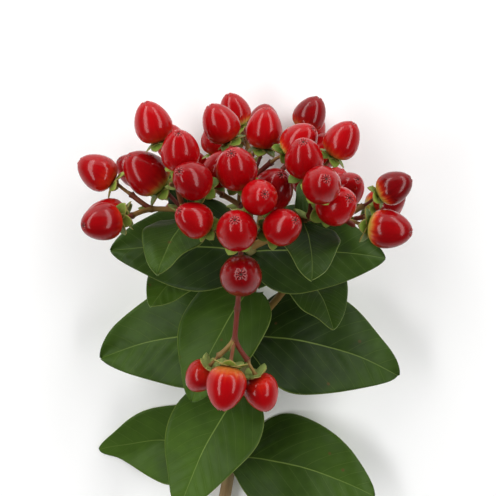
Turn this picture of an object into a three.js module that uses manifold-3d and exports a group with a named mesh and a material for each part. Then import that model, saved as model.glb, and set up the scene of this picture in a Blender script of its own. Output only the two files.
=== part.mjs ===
// A cut stem of hypericum in berry: a woody stem that lies on a table, with opposite pairs of clasping
// leaves, side shoots in the upper axils, and a forked cyme of red capsules at the end of every shoot.
// Millimetres and degrees, +Z up. The stem runs along +Y from its cut end and rises into its head.
import * as THREE from "three";
import { mergeVertices } from "three/addons/utils/BufferGeometryUtils.js";
import Module from "manifold-3d";

const wasm = await Module();
wasm.setup();

// ---------------------------------------------------------------- driving dimensions

const STEM = {
  // Bezier points from the cut end to the last fork
  path: [
    [-17, -148, 2.9],
    [-9, -97, 1.6],
    [3, -44, 4],
    [0, 10, 50],
  ],
  buttRadius: 2.5,
  tipRadius: 1.4,
  swelling: 0.5, // how far a leaf node stands proud of the stem
  swellingLength: 2.4,
  sides: 8,
  steps: 34,
};
const SEAT_GAP = 0.3; // between a leaf or a shoot and the stem that carries it

const LEAF = {
  thickness: 0.7,
  widthShare: 0.72, // width over length
  stations: [0, 0.08, 0.22, 0.4, 0.6, 0.8, 0.94, 1],
  columns: [-1, -0.5, 0, 0.5, 1],
  clasp: 0.75, // how far the corners of the base reach back round the stem, over their distance from its axis
  fold: 0.14, // rise of the blade to each side of the midrib, over its width
  wave: 1.3, // height of the waves along the margin
  waves: 1.7, // waves from base to tip
  rollWithin: 0.4, // share of the length in which a rolled blade turns from its base
};

const BERRY = {
  radius: 6.3,
  height: 13.8,
  sides: 10,
  belowCentre: 0.45, // height of the calyx below the centre of a fruit, over the height of the berry
  // shares of radius and height, from the calyx to the tip
  profile: [
    [0.6, 0.03],
    [0.99, 0.26],
    [0.93, 0.56],
    [0.55, 0.86],
    [0, 1.01],
  ],
};
const SEPAL = { count: 5, length: 5.8, shoulder: [24, 3.9], notch: 1.7, thickness: 0.7, reflex: 0.05 };
const TWIG = { radius: 0.8, armRadius: 0.88, sides: 5, sunk: 0.4 };
const BRACT = { length: 6, width: 2.6, thickness: 0.7, lean: 62 };

const CYME = {
  fork: 36, // between an arm and the stalk that it leaves
  arms: [10.5, 8], // length of the arms of the first and second fork
  stalks: [6, 5, 5], // length of a fruit's stalk, by order
  sizes: [1, 0.95, 0.86], // size of a berry, by order
  sizeSpread: 0.08,
  turnSpread: 8,
  straighten: 0.35, // how far the growth after a fork returns to the direction before it
};

// Leaf pairs on the main stem: distance from the cut end, and turn about the stem (0 is +X, 90 is up).
// Each leaf is [length, lean, swing, roll, recurve]: its lean away from the stem's tip, its swing about the
// stem out of the pair's plane, its roll about its own midrib, and how far the midrib bends back. The rolls
// turn the upper faces up, as leaves do that lie on a table.
const LEAF_PAIRS = [
  { at: 64, turn: 12, leaves: [[52, 78, 0, 52, 30], [50, 84, 6, -48, 34]] },
  { at: 92, turn: 88, leaves: [[46, 108, 34, -8, 55], [36, 62, 10, 0, 30]] },
  { at: 117, turn: 4, leaves: [[54, 86, 0, 40, 34], [53, 92, 0, -46, 34]] },
  { at: 139, turn: 100, leaves: [[42, 104, 24, 0, 50], [25, 78, 4, 0, 20]] },
  { at: 156, turn: 5, leaves: [[42, 74, 5, 34, 22], [44, 78, -5, -30, 22]] },
];
const SCARS = [30]; // nodes stripped of their leaves

// Side shoots, each in the axil of one leaf of a pair (both counted from 0).
// Its course is [swing, lean, length, bend, fork]: its swing out of the pair's plane, its lean away from the
// stem's tip, its length, how far it bends back towards that tip, and the turn of its first fork.
// Then come the fruits of its cyme that are missing, and its own pair of leaves.
const SHOOTS = [
  { name: "low_right", axil: [2, 0], course: [-25, 44, 42, 20, 0], missing: [4],
    leaves: [[25, 70, 0, 0, 35], [30, 76, 0, 36, 35]] },
  { name: "low_left", axil: [2, 1], course: [32, 44, 44, 20, 0], missing: [],
    leaves: [[32, 74, 0, -40, 35], [25, 70, 0, 14, 35]] },
  { name: "front", axil: [3, 0], course: [0, 44, 32, 8, 0], missing: [],
    leaves: [] },
  { name: "under", axil: [3, 1], course: [0, 56, 34, 0, 90], missing: [0],
    leaves: [] },
  { name: "high_right", axil: [4, 0], course: [14, 48, 28, 8, 0], missing: [3],
    leaves: [[18, 60, -12, -10, 30], [27, 58, -12, 36, 24]] },
  { name: "high_left", axil: [4, 1], course: [-10, 50, 28, 6, 0], missing: [6],
    leaves: [[28, 58, 12, -40, 24], [18, 60, 12, 24, 30]] },
];
const SHOOT = { radius: 1.25, sides: 6, steps: 5, aboveLeaf: 2.5, leavesAt: 28, leavesBelowFork: 3 };
// One arm of the front cyme has outgrown the others and hangs forward over the leaves.
const DROOP = { cyme: "front", fruit: 1, fork: 120, length: 23 };
const TERMINAL = { fork: 112, stalk: 6 }; // the cyme at the stem's tip

// Each fruit is packed as three balls on its axis: place over its height, and radius over its own.
const PACKING = {
  rounds: 80,
  homing: 0.04, // share of the way that a fruit goes back to where it grew, in each round
  upright: 0.35, // how far a moved fruit keeps the direction in which it grew
  balls: [
    [-0.4, 0.92],
    [0, 1.03],
    [0.28, 0.72],
  ],
  leafRadius: 1.3,
  stemRadius: 1.9,
  armRadius: 1.4,
  onTable: 0.92, // how far a ball keeps above the table, over its radius
  reach: 28,
  bareStem: 60, // length of stem that no fruit comes near
};
// What lies on the table is pressed to it: heights near or below the floor level out at it.
const PRESS = { softness: 1.1, bite: 0.1 };

// ---------------------------------------------------------------- small helpers

const rad = THREE.MathUtils.degToRad;
const vec = (p) => new THREE.Vector3(...p);
const along = (p, direction, distance) => p.clone().addScaledVector(direction, distance);
const turned = (direction, axis, degrees) => direction.clone().applyAxisAngle(axis, rad(degrees));
const between = (a, b, share) => a.clone().lerp(b, share).normalize();

// A repeatable draw between -1 and 1.
let seed = 20;
function draw() {
  seed = (Math.imul(seed, 1664525) + 1013904223) >>> 0;
  return seed / 2 ** 31 - 1;
}

// A direction that leans away from a tip, in the plane of the tip and an outward direction.
function leaning(tip, outward, lean) {
  return tip.clone().multiplyScalar(Math.cos(rad(lean))).addScaledVector(outward, Math.sin(rad(lean)));
}

// Position and directions at a place on a stem: out(turn) points away from it at that turn about it.
function frameOn(curve, distance, sideways) {
  const u = distance / curve.getLength();
  const at = curve.getPointAt(u);
  const tip = curve.getTangentAt(u);
  const right = along(sideways, tip, -sideways.dot(tip)).normalize();
  const up = right.clone().cross(tip);
  const out = (turn) => leaning(right, up, turn);
  return { at, tip, out };
}

function pressed(z, floor) {
  const rise = (z - floor) / PRESS.softness;
  const soft = rise > 20 ? rise : Math.log1p(Math.exp(rise));
  return floor + Math.max(0, soft * PRESS.softness - PRESS.bite);
}

// ---------------------------------------------------------------- the stem and its shoots

const stemCurve = new THREE.CubicBezierCurve3(...STEM.path.map(vec));
const stemLength = stemCurve.getLength();
const SIDEWAYS = vec([1, 0, 0]);
const stemFrame = (distance) => frameOn(stemCurve, distance, SIDEWAYS);
const nodesOnStem = [...SCARS, ...LEAF_PAIRS.map((pair) => pair.at)];

function stemRadius(distance) {
  const taper = THREE.MathUtils.lerp(STEM.buttRadius, STEM.tipRadius, distance / stemLength);
  const swell = nodesOnStem.map((at) => Math.exp(-(((distance - at) / STEM.swellingLength) ** 2)));
  return taper + STEM.swelling * Math.max(...swell);
}

// A side shoot's curve: out of the axil at its lean, then bending back towards the stem's tip.
function growShoot(shoot) {
  const [swing, lean, length, bend] = shoot.course;
  const pair = LEAF_PAIRS[shoot.axil[0]];
  const { at, tip, out } = stemFrame(pair.at + SHOOT.aboveLeaf);
  const outward = out(pair.turn + 180 * shoot.axil[1] + swing);
  const start = leaning(tip, outward, lean);
  const across = tip.clone().cross(outward).normalize();
  const end = turned(start, across, -bend);
  const knee = along(at, start, length / 2);
  const curve = new THREE.QuadraticBezierCurve3(at, knee, along(knee, end, length / 2));
  return { ...shoot, curve, across };
}
const shoots = SHOOTS.map(growShoot);

// ---------------------------------------------------------------- leaves

// Half the blade's width over its greatest half width: ovate, with a rounded, clasping base and a blunt
// point.
function leafOutline(s) {
  const ovate = (s ** 0.42 * (1 - s) ** 0.62 * (1 - 0.5 * s)) / 0.411;
  const base = 0.34 * (1 - 4 * s);
  return Math.max(ovate, base, 0.02);
}

// The blade as a function of s, from base to tip, and t, from margin to margin.
function growLeaf(name, { at, tip }, outward, radius, [length, lean, , roll, recurve]) {
  const midrib = leaning(tip, outward, lean);
  const face = along(tip, midrib, -tip.dot(midrib)).normalize();
  const across = face.clone().cross(midrib);
  const depth = radius + SEAT_GAP + (LEAF.thickness / 2) * Math.abs(Math.cos(rad(lean)));
  const seat = depth / Math.sin(rad(lean));
  const bend = rad(recurve);
  const halfWidth = (length * LEAF.widthShare) / 2;
  const waveStart = [draw(), draw()];
  const surface = (s, t) => {
    const y = t * halfWidth * leafOutline(s);
    const x = seat * (1 - LEAF.clasp * t * t * (1 - s) ** 6) + (length * Math.sin(bend * s)) / bend;
    const drop = (length * (1 - Math.cos(bend * s))) / bend;
    const phase = 2 * Math.PI * (LEAF.waves * s + waveStart[t < 0 ? 0 : 1]);
    const ripple = LEAF.wave * Math.sin(phase) * t * t * Math.min(1, 6 * s, 5 * (1 - s));
    const rolled = roll * Math.sin((Math.PI / 2) * Math.min(1, s / LEAF.rollWithin));
    const forward = leaning(midrib, face, (-recurve) * s);
    const spread = turned(across, forward, rolled);
    const normal = turned(leaning(face, midrib, recurve * s), forward, rolled);
    const onMidrib = along(along(at, midrib, x), face, -drop);
    const point = along(along(onMidrib, spread, y), normal, LEAF.fold * Math.abs(y) + ripple);
    return { point, normal };
  };
  return { name, surface };
}

function growPair(name, place, turn, leaves, radius) {
  return leaves.map((leaf, i) =>
    growLeaf(`${name}_${"ab"[i]}`, place, place.out(turn + 180 * i + leaf[2]), radius, leaf),
  );
}

const stemLeaves = LEAF_PAIRS.flatMap(({ at, turn, leaves }, i) =>
  growPair(`leaf_${i + 1}`, stemFrame(at), turn, leaves, stemRadius(at)),
);
const shootLeaves = shoots.flatMap(({ name, curve, across, leaves }) => {
  const distance = Math.min(SHOOT.leavesAt, curve.getLength() - SHOOT.leavesBelowFork);
  return growPair(`leaf_${name}`, frameOn(curve, distance, across), 0, leaves, SHOOT.radius);
});
const leaves = [...stemLeaves, ...shootLeaves];

// ---------------------------------------------------------------- cymes of berries

// A cyme forks again and again: each stalk ends in a fruit, and two arms leave its foot and do the same.
// Fruits are numbered as in a binary tree: those on the arms of fruit n are 2n + 1 and 2n + 2.
function growCyme(cyme, foot, tip, side, order = 0, number = 0) {
  const tipped = turned(tip, side, CYME.turnSpread * draw());
  const grown = turned(tipped, tip.clone().cross(side), CYME.turnSpread * draw());
  const size = CYME.sizes[order] * (1 + CYME.sizeSpread * draw());
  if (!cyme.missing.includes(number)) {
    const radius = BERRY.radius * size;
    const height = BERRY.height * size;
    const home = along(foot, grown, CYME.stalks[order] + height * BERRY.belowCentre);
    const turn = 180 * draw();
    cyme.fruits.push({ foot, home, centre: home.clone(), grown, lean: grown, radius, height, size, turn });
  }
  if (order === CYME.arms.length) return;
  const across = side.clone().cross(tip).normalize();
  for (const way of [1, -1]) {
    const next = 2 * number + (way > 0 ? 1 : 2);
    const hangs = cyme.name === DROOP.cyme && next === DROOP.fruit;
    const arm = turned(tip, across, way * (hangs ? DROOP.fork : CYME.fork));
    const end = along(foot, arm, hangs ? DROOP.length : CYME.arms[order]);
    cyme.arms.push([foot, end]);
    growCyme(cyme, end, hangs ? arm : between(arm, tip, CYME.straighten), across, order + 1, next);
  }
}

const cymes = shoots.map(({ name, curve, across, course, missing }) => {
  const cyme = { name, curve, missing, fruits: [], arms: [] };
  const tip = curve.getTangentAt(1);
  growCyme(cyme, curve.getPointAt(1), tip, turned(tip.clone().cross(across), tip, course[4]));
  return cyme;
});
const top = stemFrame(stemLength);
const terminal = { name: "terminal", curve: null, missing: [], fruits: [], arms: [] };
growCyme(terminal, along(top.at, top.tip, TERMINAL.stalk), top.tip, top.out(TERMINAL.fork));
cymes.push(terminal);

// Everything that a fruit must keep clear of, as points with a radius.
function obstacles() {
  const points = [];
  for (const { surface } of leaves)
    for (let s = 0.05; s < 1; s += 0.1)
      for (let t = -0.9; t < 1; t += 0.3) points.push([surface(s, t).point, PACKING.leafRadius]);
  for (let s = PACKING.bareStem; s < stemLength; s += 4) points.push([stemFrame(s).at, PACKING.stemRadius]);
  for (const { curve } of shoots)
    for (let u = 0.1; u < 0.95; u += 0.08) points.push([curve.getPointAt(u), PACKING.stemRadius]);
  for (const [from, to] of cymes.flatMap((cyme) => cyme.arms))
    for (const u of [0.3, 0.6, 0.9]) points.push([from.clone().lerp(to, u), PACKING.armRadius]);
  return points;
}

const balls = ({ centre, lean, radius, height }) =>
  PACKING.balls.map(([z, r]) => [along(centre, lean, z * height), r * radius]);

function pushApart(a, b) {
  if (a.centre.distanceTo(b.centre) > PACKING.reach) return;
  for (const [p, r] of balls(a))
    for (const [q, l] of balls(b)) {
      const apart = p.clone().sub(q);
      const need = r + l - apart.length();
      if (need <= 0) continue;
      apart.normalize();
      a.centre.addScaledVector(apart, need / 3);
      b.centre.addScaledVector(apart, -need / 3);
    }
}

// The berries push each other, the leaves and the stems aside, and none sinks into the table.
function packBerries(fruits) {
  const solid = obstacles();
  for (const fruit of fruits) {
    fruit.near = solid.filter(([point]) => point.distanceTo(fruit.home) < PACKING.reach);
  }
  for (let round = 0; round < PACKING.rounds; round++) {
    for (const fruit of fruits) {
      fruit.centre.lerp(fruit.home, PACKING.homing);
      fruit.lean = between(fruit.centre.clone().sub(fruit.foot).normalize(), fruit.grown, PACKING.upright);
    }
    fruits.forEach((fruit, i) => {
      for (const other of fruits.slice(i + 1)) pushApart(fruit, other);
      for (const [p, r] of balls(fruit)) {
        for (const [point, radius] of fruit.near) {
          const away = p.clone().sub(point);
          const need = r + radius - away.length();
          if (need > 0) fruit.centre.addScaledVector(away.normalize(), need / 2);
        }
        fruit.centre.z += Math.max(0, r * PACKING.onTable - p.z);
      }
    });
  }
}
packBerries(cymes.flatMap((cyme) => cyme.fruits));

// ---------------------------------------------------------------- solids

function geometryFrom(points, index) {
  const geometry = new THREE.BufferGeometry();
  geometry.setAttribute("position", new THREE.BufferAttribute(new Float32Array(points), 3));
  geometry.setIndex(index);
  return geometry;
}

function solidOf(geometry) {
  const bare = geometry.clone();
  bare.deleteAttribute("normal");
  bare.deleteAttribute("uv");
  const merged = mergeVertices(bare, 1e-4);
  const vertProperties = new Float32Array(merged.attributes.position.array);
  const triVerts = new Uint32Array(merged.index.array);
  return new wasm.Manifold(new wasm.Mesh({ numProp: 3, vertProperties, triVerts }));
}

function geometryOf(solid) {
  const { vertProperties, triVerts } = solid.getMesh();
  return geometryFrom(vertProperties, [...triVerts]);
}

// A cylinder laid along a curve, its radius a function of the distance from the start.
function rod(curve, radiusAt, sides, steps) {
  const geometry = new THREE.CylinderGeometry(1, 1, 1, sides, steps);
  const position = geometry.attributes.position;
  const length = curve.getLength();
  const reference = Math.abs(curve.getTangentAt(0.5).x) < 0.8 ? SIDEWAYS : vec([0, 0, 1]);
  for (let i = 0; i < position.count; i++) {
    const distance = (position.getY(i) + 0.5) * length;
    const { at, out } = frameOn(curve, distance, reference);
    const radius = radiusAt(distance);
    const point = along(along(at, out(0), position.getX(i) * radius), out(90), position.getZ(i) * radius);
    position.setXYZ(i, point.x, point.y, point.z);
  }
  return geometry;
}
const straight = (a, b) => new THREE.LineCurve3(a, b);

// A blade: the same grid on both faces, with a rim between them.
function blade({ surface }) {
  const rows = LEAF.stations.length;
  const wide = LEAF.columns.length;
  const points = [];
  for (const side of [1, -1])
    for (const s of LEAF.stations)
      for (const t of LEAF.columns) {
        const { point, normal } = surface(s, t);
        const corner = along(point, normal, (side * LEAF.thickness) / 2);
        const isUpper = side * normal.z > 0;
        points.push(corner.x, corner.y, pressed(corner.z, isUpper ? LEAF.thickness : 0));
      }
  const index = [];
  const under = rows * wide;
  for (let i = 0; i < rows - 1; i++)
    for (let j = 0; j < wide - 1; j++) {
      const [a, b] = [i * wide + j, i * wide + j + 1];
      const [d, c] = [a + wide, b + wide];
      index.push(a, c, b, a, d, c, under + a, under + b, under + c, under + a, under + c, under + d);
    }
  const rim = [];
  for (let j = 0; j < wide; j++) rim.push(j);
  for (let i = 1; i < rows; i++) rim.push(i * wide + wide - 1);
  for (let j = wide - 2; j >= 0; j--) rim.push((rows - 1) * wide + j);
  for (let i = rows - 2; i > 0; i--) rim.push(i * wide);
  rim.forEach((a, k) => {
    const b = rim[(k + 1) % rim.length];
    index.push(a, b, under + a, b, under + b, under + a);
  });
  return geometryFrom(points, index);
}

// A closed skin through rings of points, first to last. Of two neighbouring rings, one has as many points as
// the other or a multiple of them.
function skin(rings) {
  const starts = rings.map((_, i) => rings.slice(0, i).flat().length);
  const index = [];
  const last = rings.length - 1;
  for (let k = 1; k < rings[0].length - 1; k++) index.push(0, k + 1, k);
  const cap = starts[last];
  for (let k = 1; k < rings[last].length - 1; k++) index.push(cap, cap + k, cap + k + 1);
  for (let i = 0; i < last; i++) {
    const widens = rings[i + 1].length >= rings[i].length;
    const [few, many] = widens ? [i, i + 1] : [i + 1, i];
    const [n, m] = [rings[few].length, rings[many].length];
    const add = (a, b, c) => index.push(...(widens ? [a, c, b] : [a, b, c]));
    const onMany = (j) => starts[many] + ((j + m) % m);
    for (let k = 0; k < n; k++) {
      const first = (m / n) * k - Math.floor(m / n / 2);
      const end = first + m / n;
      for (let j = first; j < end; j++) add(starts[few] + k, onMany(j), onMany(j + 1));
      add(starts[few] + k, onMany(end), starts[few] + ((k + 1) % n));
    }
  }
  return geometryFrom(rings.flat().flatMap((p) => p.toArray()), index);
}

// A fruit with its stalk: the sepals are a star that stands out between the stalk and the berry.
function fruitGeometry({ foot, centre, lean, radius, height, size, turn }) {
  const upright = new THREE.Quaternion().setFromUnitVectors(vec([0, 0, 1]), lean);
  const turning = upright.multiply(new THREE.Quaternion().setFromAxisAngle(vec([0, 0, 1]), rad(turn)));
  const calyxAt = along(centre, lean, -height * BERRY.belowCentre);
  const place = (origin, degrees, r, z) =>
    vec([r * Math.cos(rad(degrees)), r * Math.sin(rad(degrees)), z]).applyQuaternion(turning).add(origin);
  const ring = (count, r, z, origin = calyxAt) =>
    Array.from({ length: count }, (_, k) => place(origin, (360 / count) * k, r, z));
  const step = 360 / SEPAL.count;
  const [shoulderTurn, shoulderReach] = SEPAL.shoulder;
  const corners = [
    [0, SEPAL.length],
    [shoulderTurn, shoulderReach],
    [step / 2, SEPAL.notch],
    [step - shoulderTurn, shoulderReach],
  ];
  const star = (drop) =>
    Array.from({ length: SEPAL.count * corners.length }, (_, k) => {
      const [degrees, reach] = corners[k % corners.length];
      const r = reach * size;
      const sepalTurn = step * Math.floor(k / corners.length);
      const point = place(calyxAt, sepalTurn + degrees, r, -SEPAL.reflex * r * r - drop);
      point.z = Math.max(point.z, SEPAL.thickness - drop);
      return point;
    });
  return skin([
    ring(TWIG.sides, TWIG.radius, -TWIG.sunk, foot),
    ring(TWIG.sides, TWIG.radius, -SEPAL.thickness - TWIG.sunk),
    star(SEPAL.thickness),
    star(0),
    ...BERRY.profile.map(([r, z]) => ring(BERRY.sides, r * radius, z * height)),
  ]);
}

// A small pointed bract: a flat kite with its root in the foot of an arm.
function bract([foot, end], way) {
  const arm = end.clone().sub(foot).normalize();
  const side = arm.clone().cross(SIDEWAYS).normalize();
  const out = turned(arm, side, way * BRACT.lean);
  const face = out.clone().cross(side);
  const outline = [[0, 0], [0.4, -0.5], [1, 0], [0.4, 0.5]];
  const layer = (lift) =>
    outline.map(([x, y]) => {
      const onMidrib = along(foot, out, BRACT.length * x);
      return along(along(onMidrib, side, BRACT.width * y), face, lift);
    });
  return skin([layer(-BRACT.thickness / 2), layer(BRACT.thickness / 2)]);
}

// The space that a shoot leaves free round the main stem.
const sheath = solidOf(rod(stemCurve, (distance) => stemRadius(distance) + SEAT_GAP, STEM.sides, STEM.steps));

function sprayGeometry({ curve, fruits, arms }) {
  const ends = [SEAT_GAP, TERMINAL.stalk + TWIG.sunk].map((distance) => along(top.at, top.tip, distance));
  const stalk = straight(...ends);
  const pieces = [
    curve
      ? rod(curve, () => SHOOT.radius, SHOOT.sides, SHOOT.steps)
      : rod(stalk, () => STEM.tipRadius, SHOOT.sides, 1),
    ...arms.map(([from, to]) => rod(straight(from, to), () => TWIG.armRadius, TWIG.sides, 1)),
    bract(arms[0], 1),
    bract(arms[3], -1),
    ...fruits.map(fruitGeometry),
  ];
  const spray = pieces.map(solidOf).reduce((whole, piece) => whole.add(piece));
  return geometryOf(curve ? spray.subtract(sheath) : spray);
}

// ---------------------------------------------------------------- the assembly

const finish = (color, roughness) => new THREE.MeshStandardMaterial({ color, roughness, metalness: 0 });
const BARK = finish(0x7a5a34, 0.7);
const LEAF_GREEN = finish(0x3d5525, 0.45);
const BERRY_RED = finish(0xb8121c, 0.25);

const part = new THREE.Group();
function addNode(name, geometry, material) {
  const mesh = new THREE.Mesh(geometry, material);
  mesh.name = name;
  part.add(mesh);
}

addNode("main_stem", rod(stemCurve, stemRadius, STEM.sides, STEM.steps), BARK);
for (const leaf of leaves) addNode(leaf.name, blade(leaf), LEAF_GREEN);
for (const cyme of cymes) addNode(`spray_${cyme.name}`, sprayGeometry(cyme), BERRY_RED);

// The middle of the whole, on the table, is the origin.
const box = new THREE.Box3().setFromObject(part);
const middle = box.getCenter(new THREE.Vector3());
for (const mesh of part.children) mesh.geometry.translate(-middle.x, -middle.y, -box.min.z);

export default part;
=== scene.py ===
# %% [markdown]
# # A stem of hypericum in berry
#
# Florists cut this shrub for its red capsules. Here one cut stem lies on a table: a thin woody stem with
# leaves in opposite pairs, side shoots in the upper axils, and a forked head of berries at the end of every
# shoot. The packed CAD model gives the frame. Its leaves and sprays are plain solids, and each cell below
# makes a finer piece that stands where one of them stands.

import math
from types import SimpleNamespace

import bmesh
import bpy
import numpy as np
from mathutils import Matrix, Quaternion, Vector


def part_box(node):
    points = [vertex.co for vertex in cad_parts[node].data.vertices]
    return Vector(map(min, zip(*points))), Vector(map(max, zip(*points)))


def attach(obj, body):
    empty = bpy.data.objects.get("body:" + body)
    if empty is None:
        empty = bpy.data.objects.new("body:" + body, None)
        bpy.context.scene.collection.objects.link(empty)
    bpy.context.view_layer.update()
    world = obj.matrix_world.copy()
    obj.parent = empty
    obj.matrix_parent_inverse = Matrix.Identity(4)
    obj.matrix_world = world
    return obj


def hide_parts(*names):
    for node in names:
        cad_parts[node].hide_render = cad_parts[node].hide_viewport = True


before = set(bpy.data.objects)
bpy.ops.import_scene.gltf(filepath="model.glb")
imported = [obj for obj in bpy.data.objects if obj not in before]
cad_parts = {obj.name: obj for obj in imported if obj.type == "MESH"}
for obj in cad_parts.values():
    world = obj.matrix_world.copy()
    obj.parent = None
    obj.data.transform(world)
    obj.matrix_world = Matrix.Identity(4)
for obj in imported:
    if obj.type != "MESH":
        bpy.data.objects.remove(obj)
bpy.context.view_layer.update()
SPRAYS = [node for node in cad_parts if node.startswith("spray_")]
print("CAD nodes:", len(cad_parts), "of which sprays:", len(SPRAYS))

# %% [markdown]
# ## A way to write node trees
#
# Materials and Geometry Nodes are both graphs. One small class keeps a tree and adds a node to it from the
# node's type, its settings, and the values or links of its sockets. A second class wraps a number that
# varies over a surface, so that sums and products on it read as plain Python and add their Math nodes by
# themselves.

# %% Nodes and numbers


class Graph:
    """A node tree that is written down node by node."""

    def __init__(self, tree):
        self.tree = tree
        self.tree.nodes.clear()

    def add(self, kind, settings=None, inputs=None):
        node = self.tree.nodes.new(kind)
        for name, value in (settings or {}).items():
            setattr(node, name, value)
        for key, value in (inputs or {}).items():
            socket = node.inputs[key]
            value = getattr(value, "socket", value)
            if isinstance(value, bpy.types.NodeSocket):
                self.tree.links.new(value, socket)
            else:
                socket.default_value = value
        return node

    def math(self, operation, *values):
        node = self.add("ShaderNodeMath", {"operation": operation}, dict(enumerate(values)))
        return Number(self, node.outputs[0])


class Number:
    """A number that varies over a surface."""

    def __init__(self, graph, socket):
        self.graph = graph
        self.socket = socket

    def __add__(self, other):
        return self.graph.math("ADD", self, other)

    __radd__ = __add__

    def __sub__(self, other):
        return self.graph.math("SUBTRACT", self, other)

    def __rsub__(self, other):
        return self.graph.math("SUBTRACT", other, self)

    def __mul__(self, other):
        return self.graph.math("MULTIPLY", self, other)

    __rmul__ = __mul__

    def __truediv__(self, other):
        return self.graph.math("DIVIDE", self, other)

    def __pow__(self, other):
        return self.graph.math("POWER", self, other)

    def __abs__(self):
        return self.graph.math("ABSOLUTE", self)


print("a node tree is written with:", [name for name in vars(Graph) if not name.startswith("_")])

# %% [markdown]
# A material is a graph with a few words of its own: an attribute of the mesh, a soft step between two
# values, a mix of two colours, and the two patterns that the finishes below are made of, soft noise and
# cells. Colours are written as they look on a screen and turned into the linear values that a shader wants.

# %% Words for a finish
SPECK_EDGE = (0.06, 0.13)  # where a speck starts to fade and where it ends, from the middle of its cell


def paint(code):
    """A colour as it looks on a screen, such as "#3d5025", in linear values."""
    shown = [int(code[i : i + 2], 16) / 255 for i in (1, 3, 5)]
    return tuple(x / 12.92 if x <= 0.04045 else ((x + 0.055) / 1.055) ** 2.4 for x in shown) + (1.0,)


class Finish(Graph):
    """A material in the making."""

    def __init__(self, name):
        self.material = bpy.data.materials.new(name)
        self.material.use_nodes = True
        super().__init__(self.material.node_tree)

    def attribute(self, name, output="Fac"):
        node = self.add("ShaderNodeAttribute", {"attribute_name": name})
        return Number(self, node.outputs[output])

    def place(self):
        return self.add("ShaderNodeTexCoord").outputs["Object"]

    def step(self, value, low, high):
        """0 where the value is under low, 1 where it is over high, and soft between."""
        ends = {"From Min": low, "From Max": high, "To Min": 0.0, "To Max": 1.0}
        node = self.add("ShaderNodeMapRange", {"interpolation_type": "SMOOTHSTEP"}, {"Value": value, **ends})
        return Number(self, node.outputs["Result"])

    def line(self, distance, half_width):
        """1 on a line and 0 beside it, from the distance to the line."""
        return 1 - self.step(abs(distance), half_width * 0.3, half_width)

    def mix(self, share, first, second):
        first = paint(first) if isinstance(first, str) else first
        second = paint(second) if isinstance(second, str) else second
        node = self.add("ShaderNodeMix", {"data_type": "RGBA"}, {0: share, 6: first, 7: second})
        return node.outputs[2]

    def noise(self, vector, scale, detail=2.0):
        node = self.add("ShaderNodeTexNoise", inputs={"Vector": vector, "Scale": scale, "Detail": detail})
        return Number(self, node.outputs["Fac"])

    def cells(self, vector, scale, feature="F1"):
        """A pattern of cells: the distance to their middles or edges, and a draw as the colour of each."""
        node = self.add("ShaderNodeTexVoronoi", {"feature": feature}, {"Vector": vector, "Scale": scale})
        return node.outputs

    def specked(self, colour, code, scale, rare, share):
        """A colour with specks of another in a few cells; rare is where their draws fade in and are full."""
        cells = self.cells(self.place(), scale)
        specks = (1 - self.step(cells["Distance"], *SPECK_EDGE)) * self.step(cells["Color"], *rare)
        return self.mix(specks * share, colour, code)

    def shade(self, colour, roughness, height, depth, **constants):
        """Ends the graph: colour, roughness and relief vary, and all else on the shader is constant."""
        bump = self.add("ShaderNodeBump", inputs={"Strength": 1.0, "Distance": depth, "Height": height})
        inputs = {"Base Color": colour, "Roughness": roughness, "Normal": bump.outputs["Normal"], **constants}
        shader = self.add("ShaderNodeBsdfPrincipled", inputs=inputs)
        self.add("ShaderNodeOutputMaterial", inputs={"Surface": shader.outputs["BSDF"]})
        return self.material


print("leaf green in linear values:", [round(x, 3) for x in paint("#3d5025")])

# %% [markdown]
# ## The camera
#
# The heads of berries are what the stem is cut for, so they fill the frame and the bare stem runs out of it
# at the bottom. Leaves turn their upper faces, and berries their crowns, towards the stem's tip. The camera
# therefore looks down on the lying stem from a little past the vertical, where it meets both. A long lens
# keeps near and far berries about the same size. Its distance follows from the width that it should see.

# %% Set the camera
HEAD_VIEW = {"elevation": 100, "width": 0.164, "lens": 85, "aim_up": 0.42}
SENSOR = 36
NEAREST = 0.01

head_low = Vector(np.min([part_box(node)[0] for node in SPRAYS], axis=0))
head_high = Vector(np.max([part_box(node)[1] for node in SPRAYS], axis=0))
head_middle = (head_low + head_high) / 2
head_middle.z = head_high.z * HEAD_VIEW["aim_up"]

elevation = math.radians(HEAD_VIEW["elevation"])
TO_CAMERA = Vector((0, -math.cos(elevation), math.sin(elevation)))
IMAGE_RIGHT = Vector((1, 0, 0))
IMAGE_UP = TO_CAMERA.cross(IMAGE_RIGHT)
distance = HEAD_VIEW["width"] * HEAD_VIEW["lens"] / SENSOR


def aimed(thing, place, target):
    """Puts a camera or a light at a place, turned to a target, its height in line with the image's."""
    backward = (place - target).normalized()
    right = IMAGE_UP.cross(backward).normalized()
    thing.location = place
    thing.rotation_euler = Matrix((right, backward.cross(right), backward)).transposed().to_euler()
    bpy.context.scene.collection.objects.link(thing)
    return thing


lens = bpy.data.cameras.new("camera")
lens.lens = HEAD_VIEW["lens"]
lens.sensor_width = SENSOR
lens.clip_start = NEAREST
camera = aimed(bpy.data.objects.new("camera", lens), head_middle + TO_CAMERA * distance, head_middle)
bpy.context.scene.camera = camera
print("camera is", round(1000 * distance), "mm from the head")

# %% [markdown]
# ## The light
#
# A glossy berry shows its lights as much as its own red. Two tall, narrow softboxes stand left and right of
# the camera, and each draws one long soft stripe down every berry. A wide softbox beyond the tip lifts the
# tops of the leaves. They are placed by angles from the camera's own axis, so they keep their place if the
# camera's height is changed.

# %% Hang the softboxes
# to the right and up from the camera's axis, in degrees; then width, height and distance in metres, and power
SOFTBOXES = {
    "left_strip": (-42, 16, 0.34, 3.2, 1.2, 24.0),
    "right_strip": (44, 16, 0.34, 3.2, 1.2, 21.0),
    "overhead": (0, 62, 2.4, 1.4, 2.2, 13.0),
}

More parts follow.
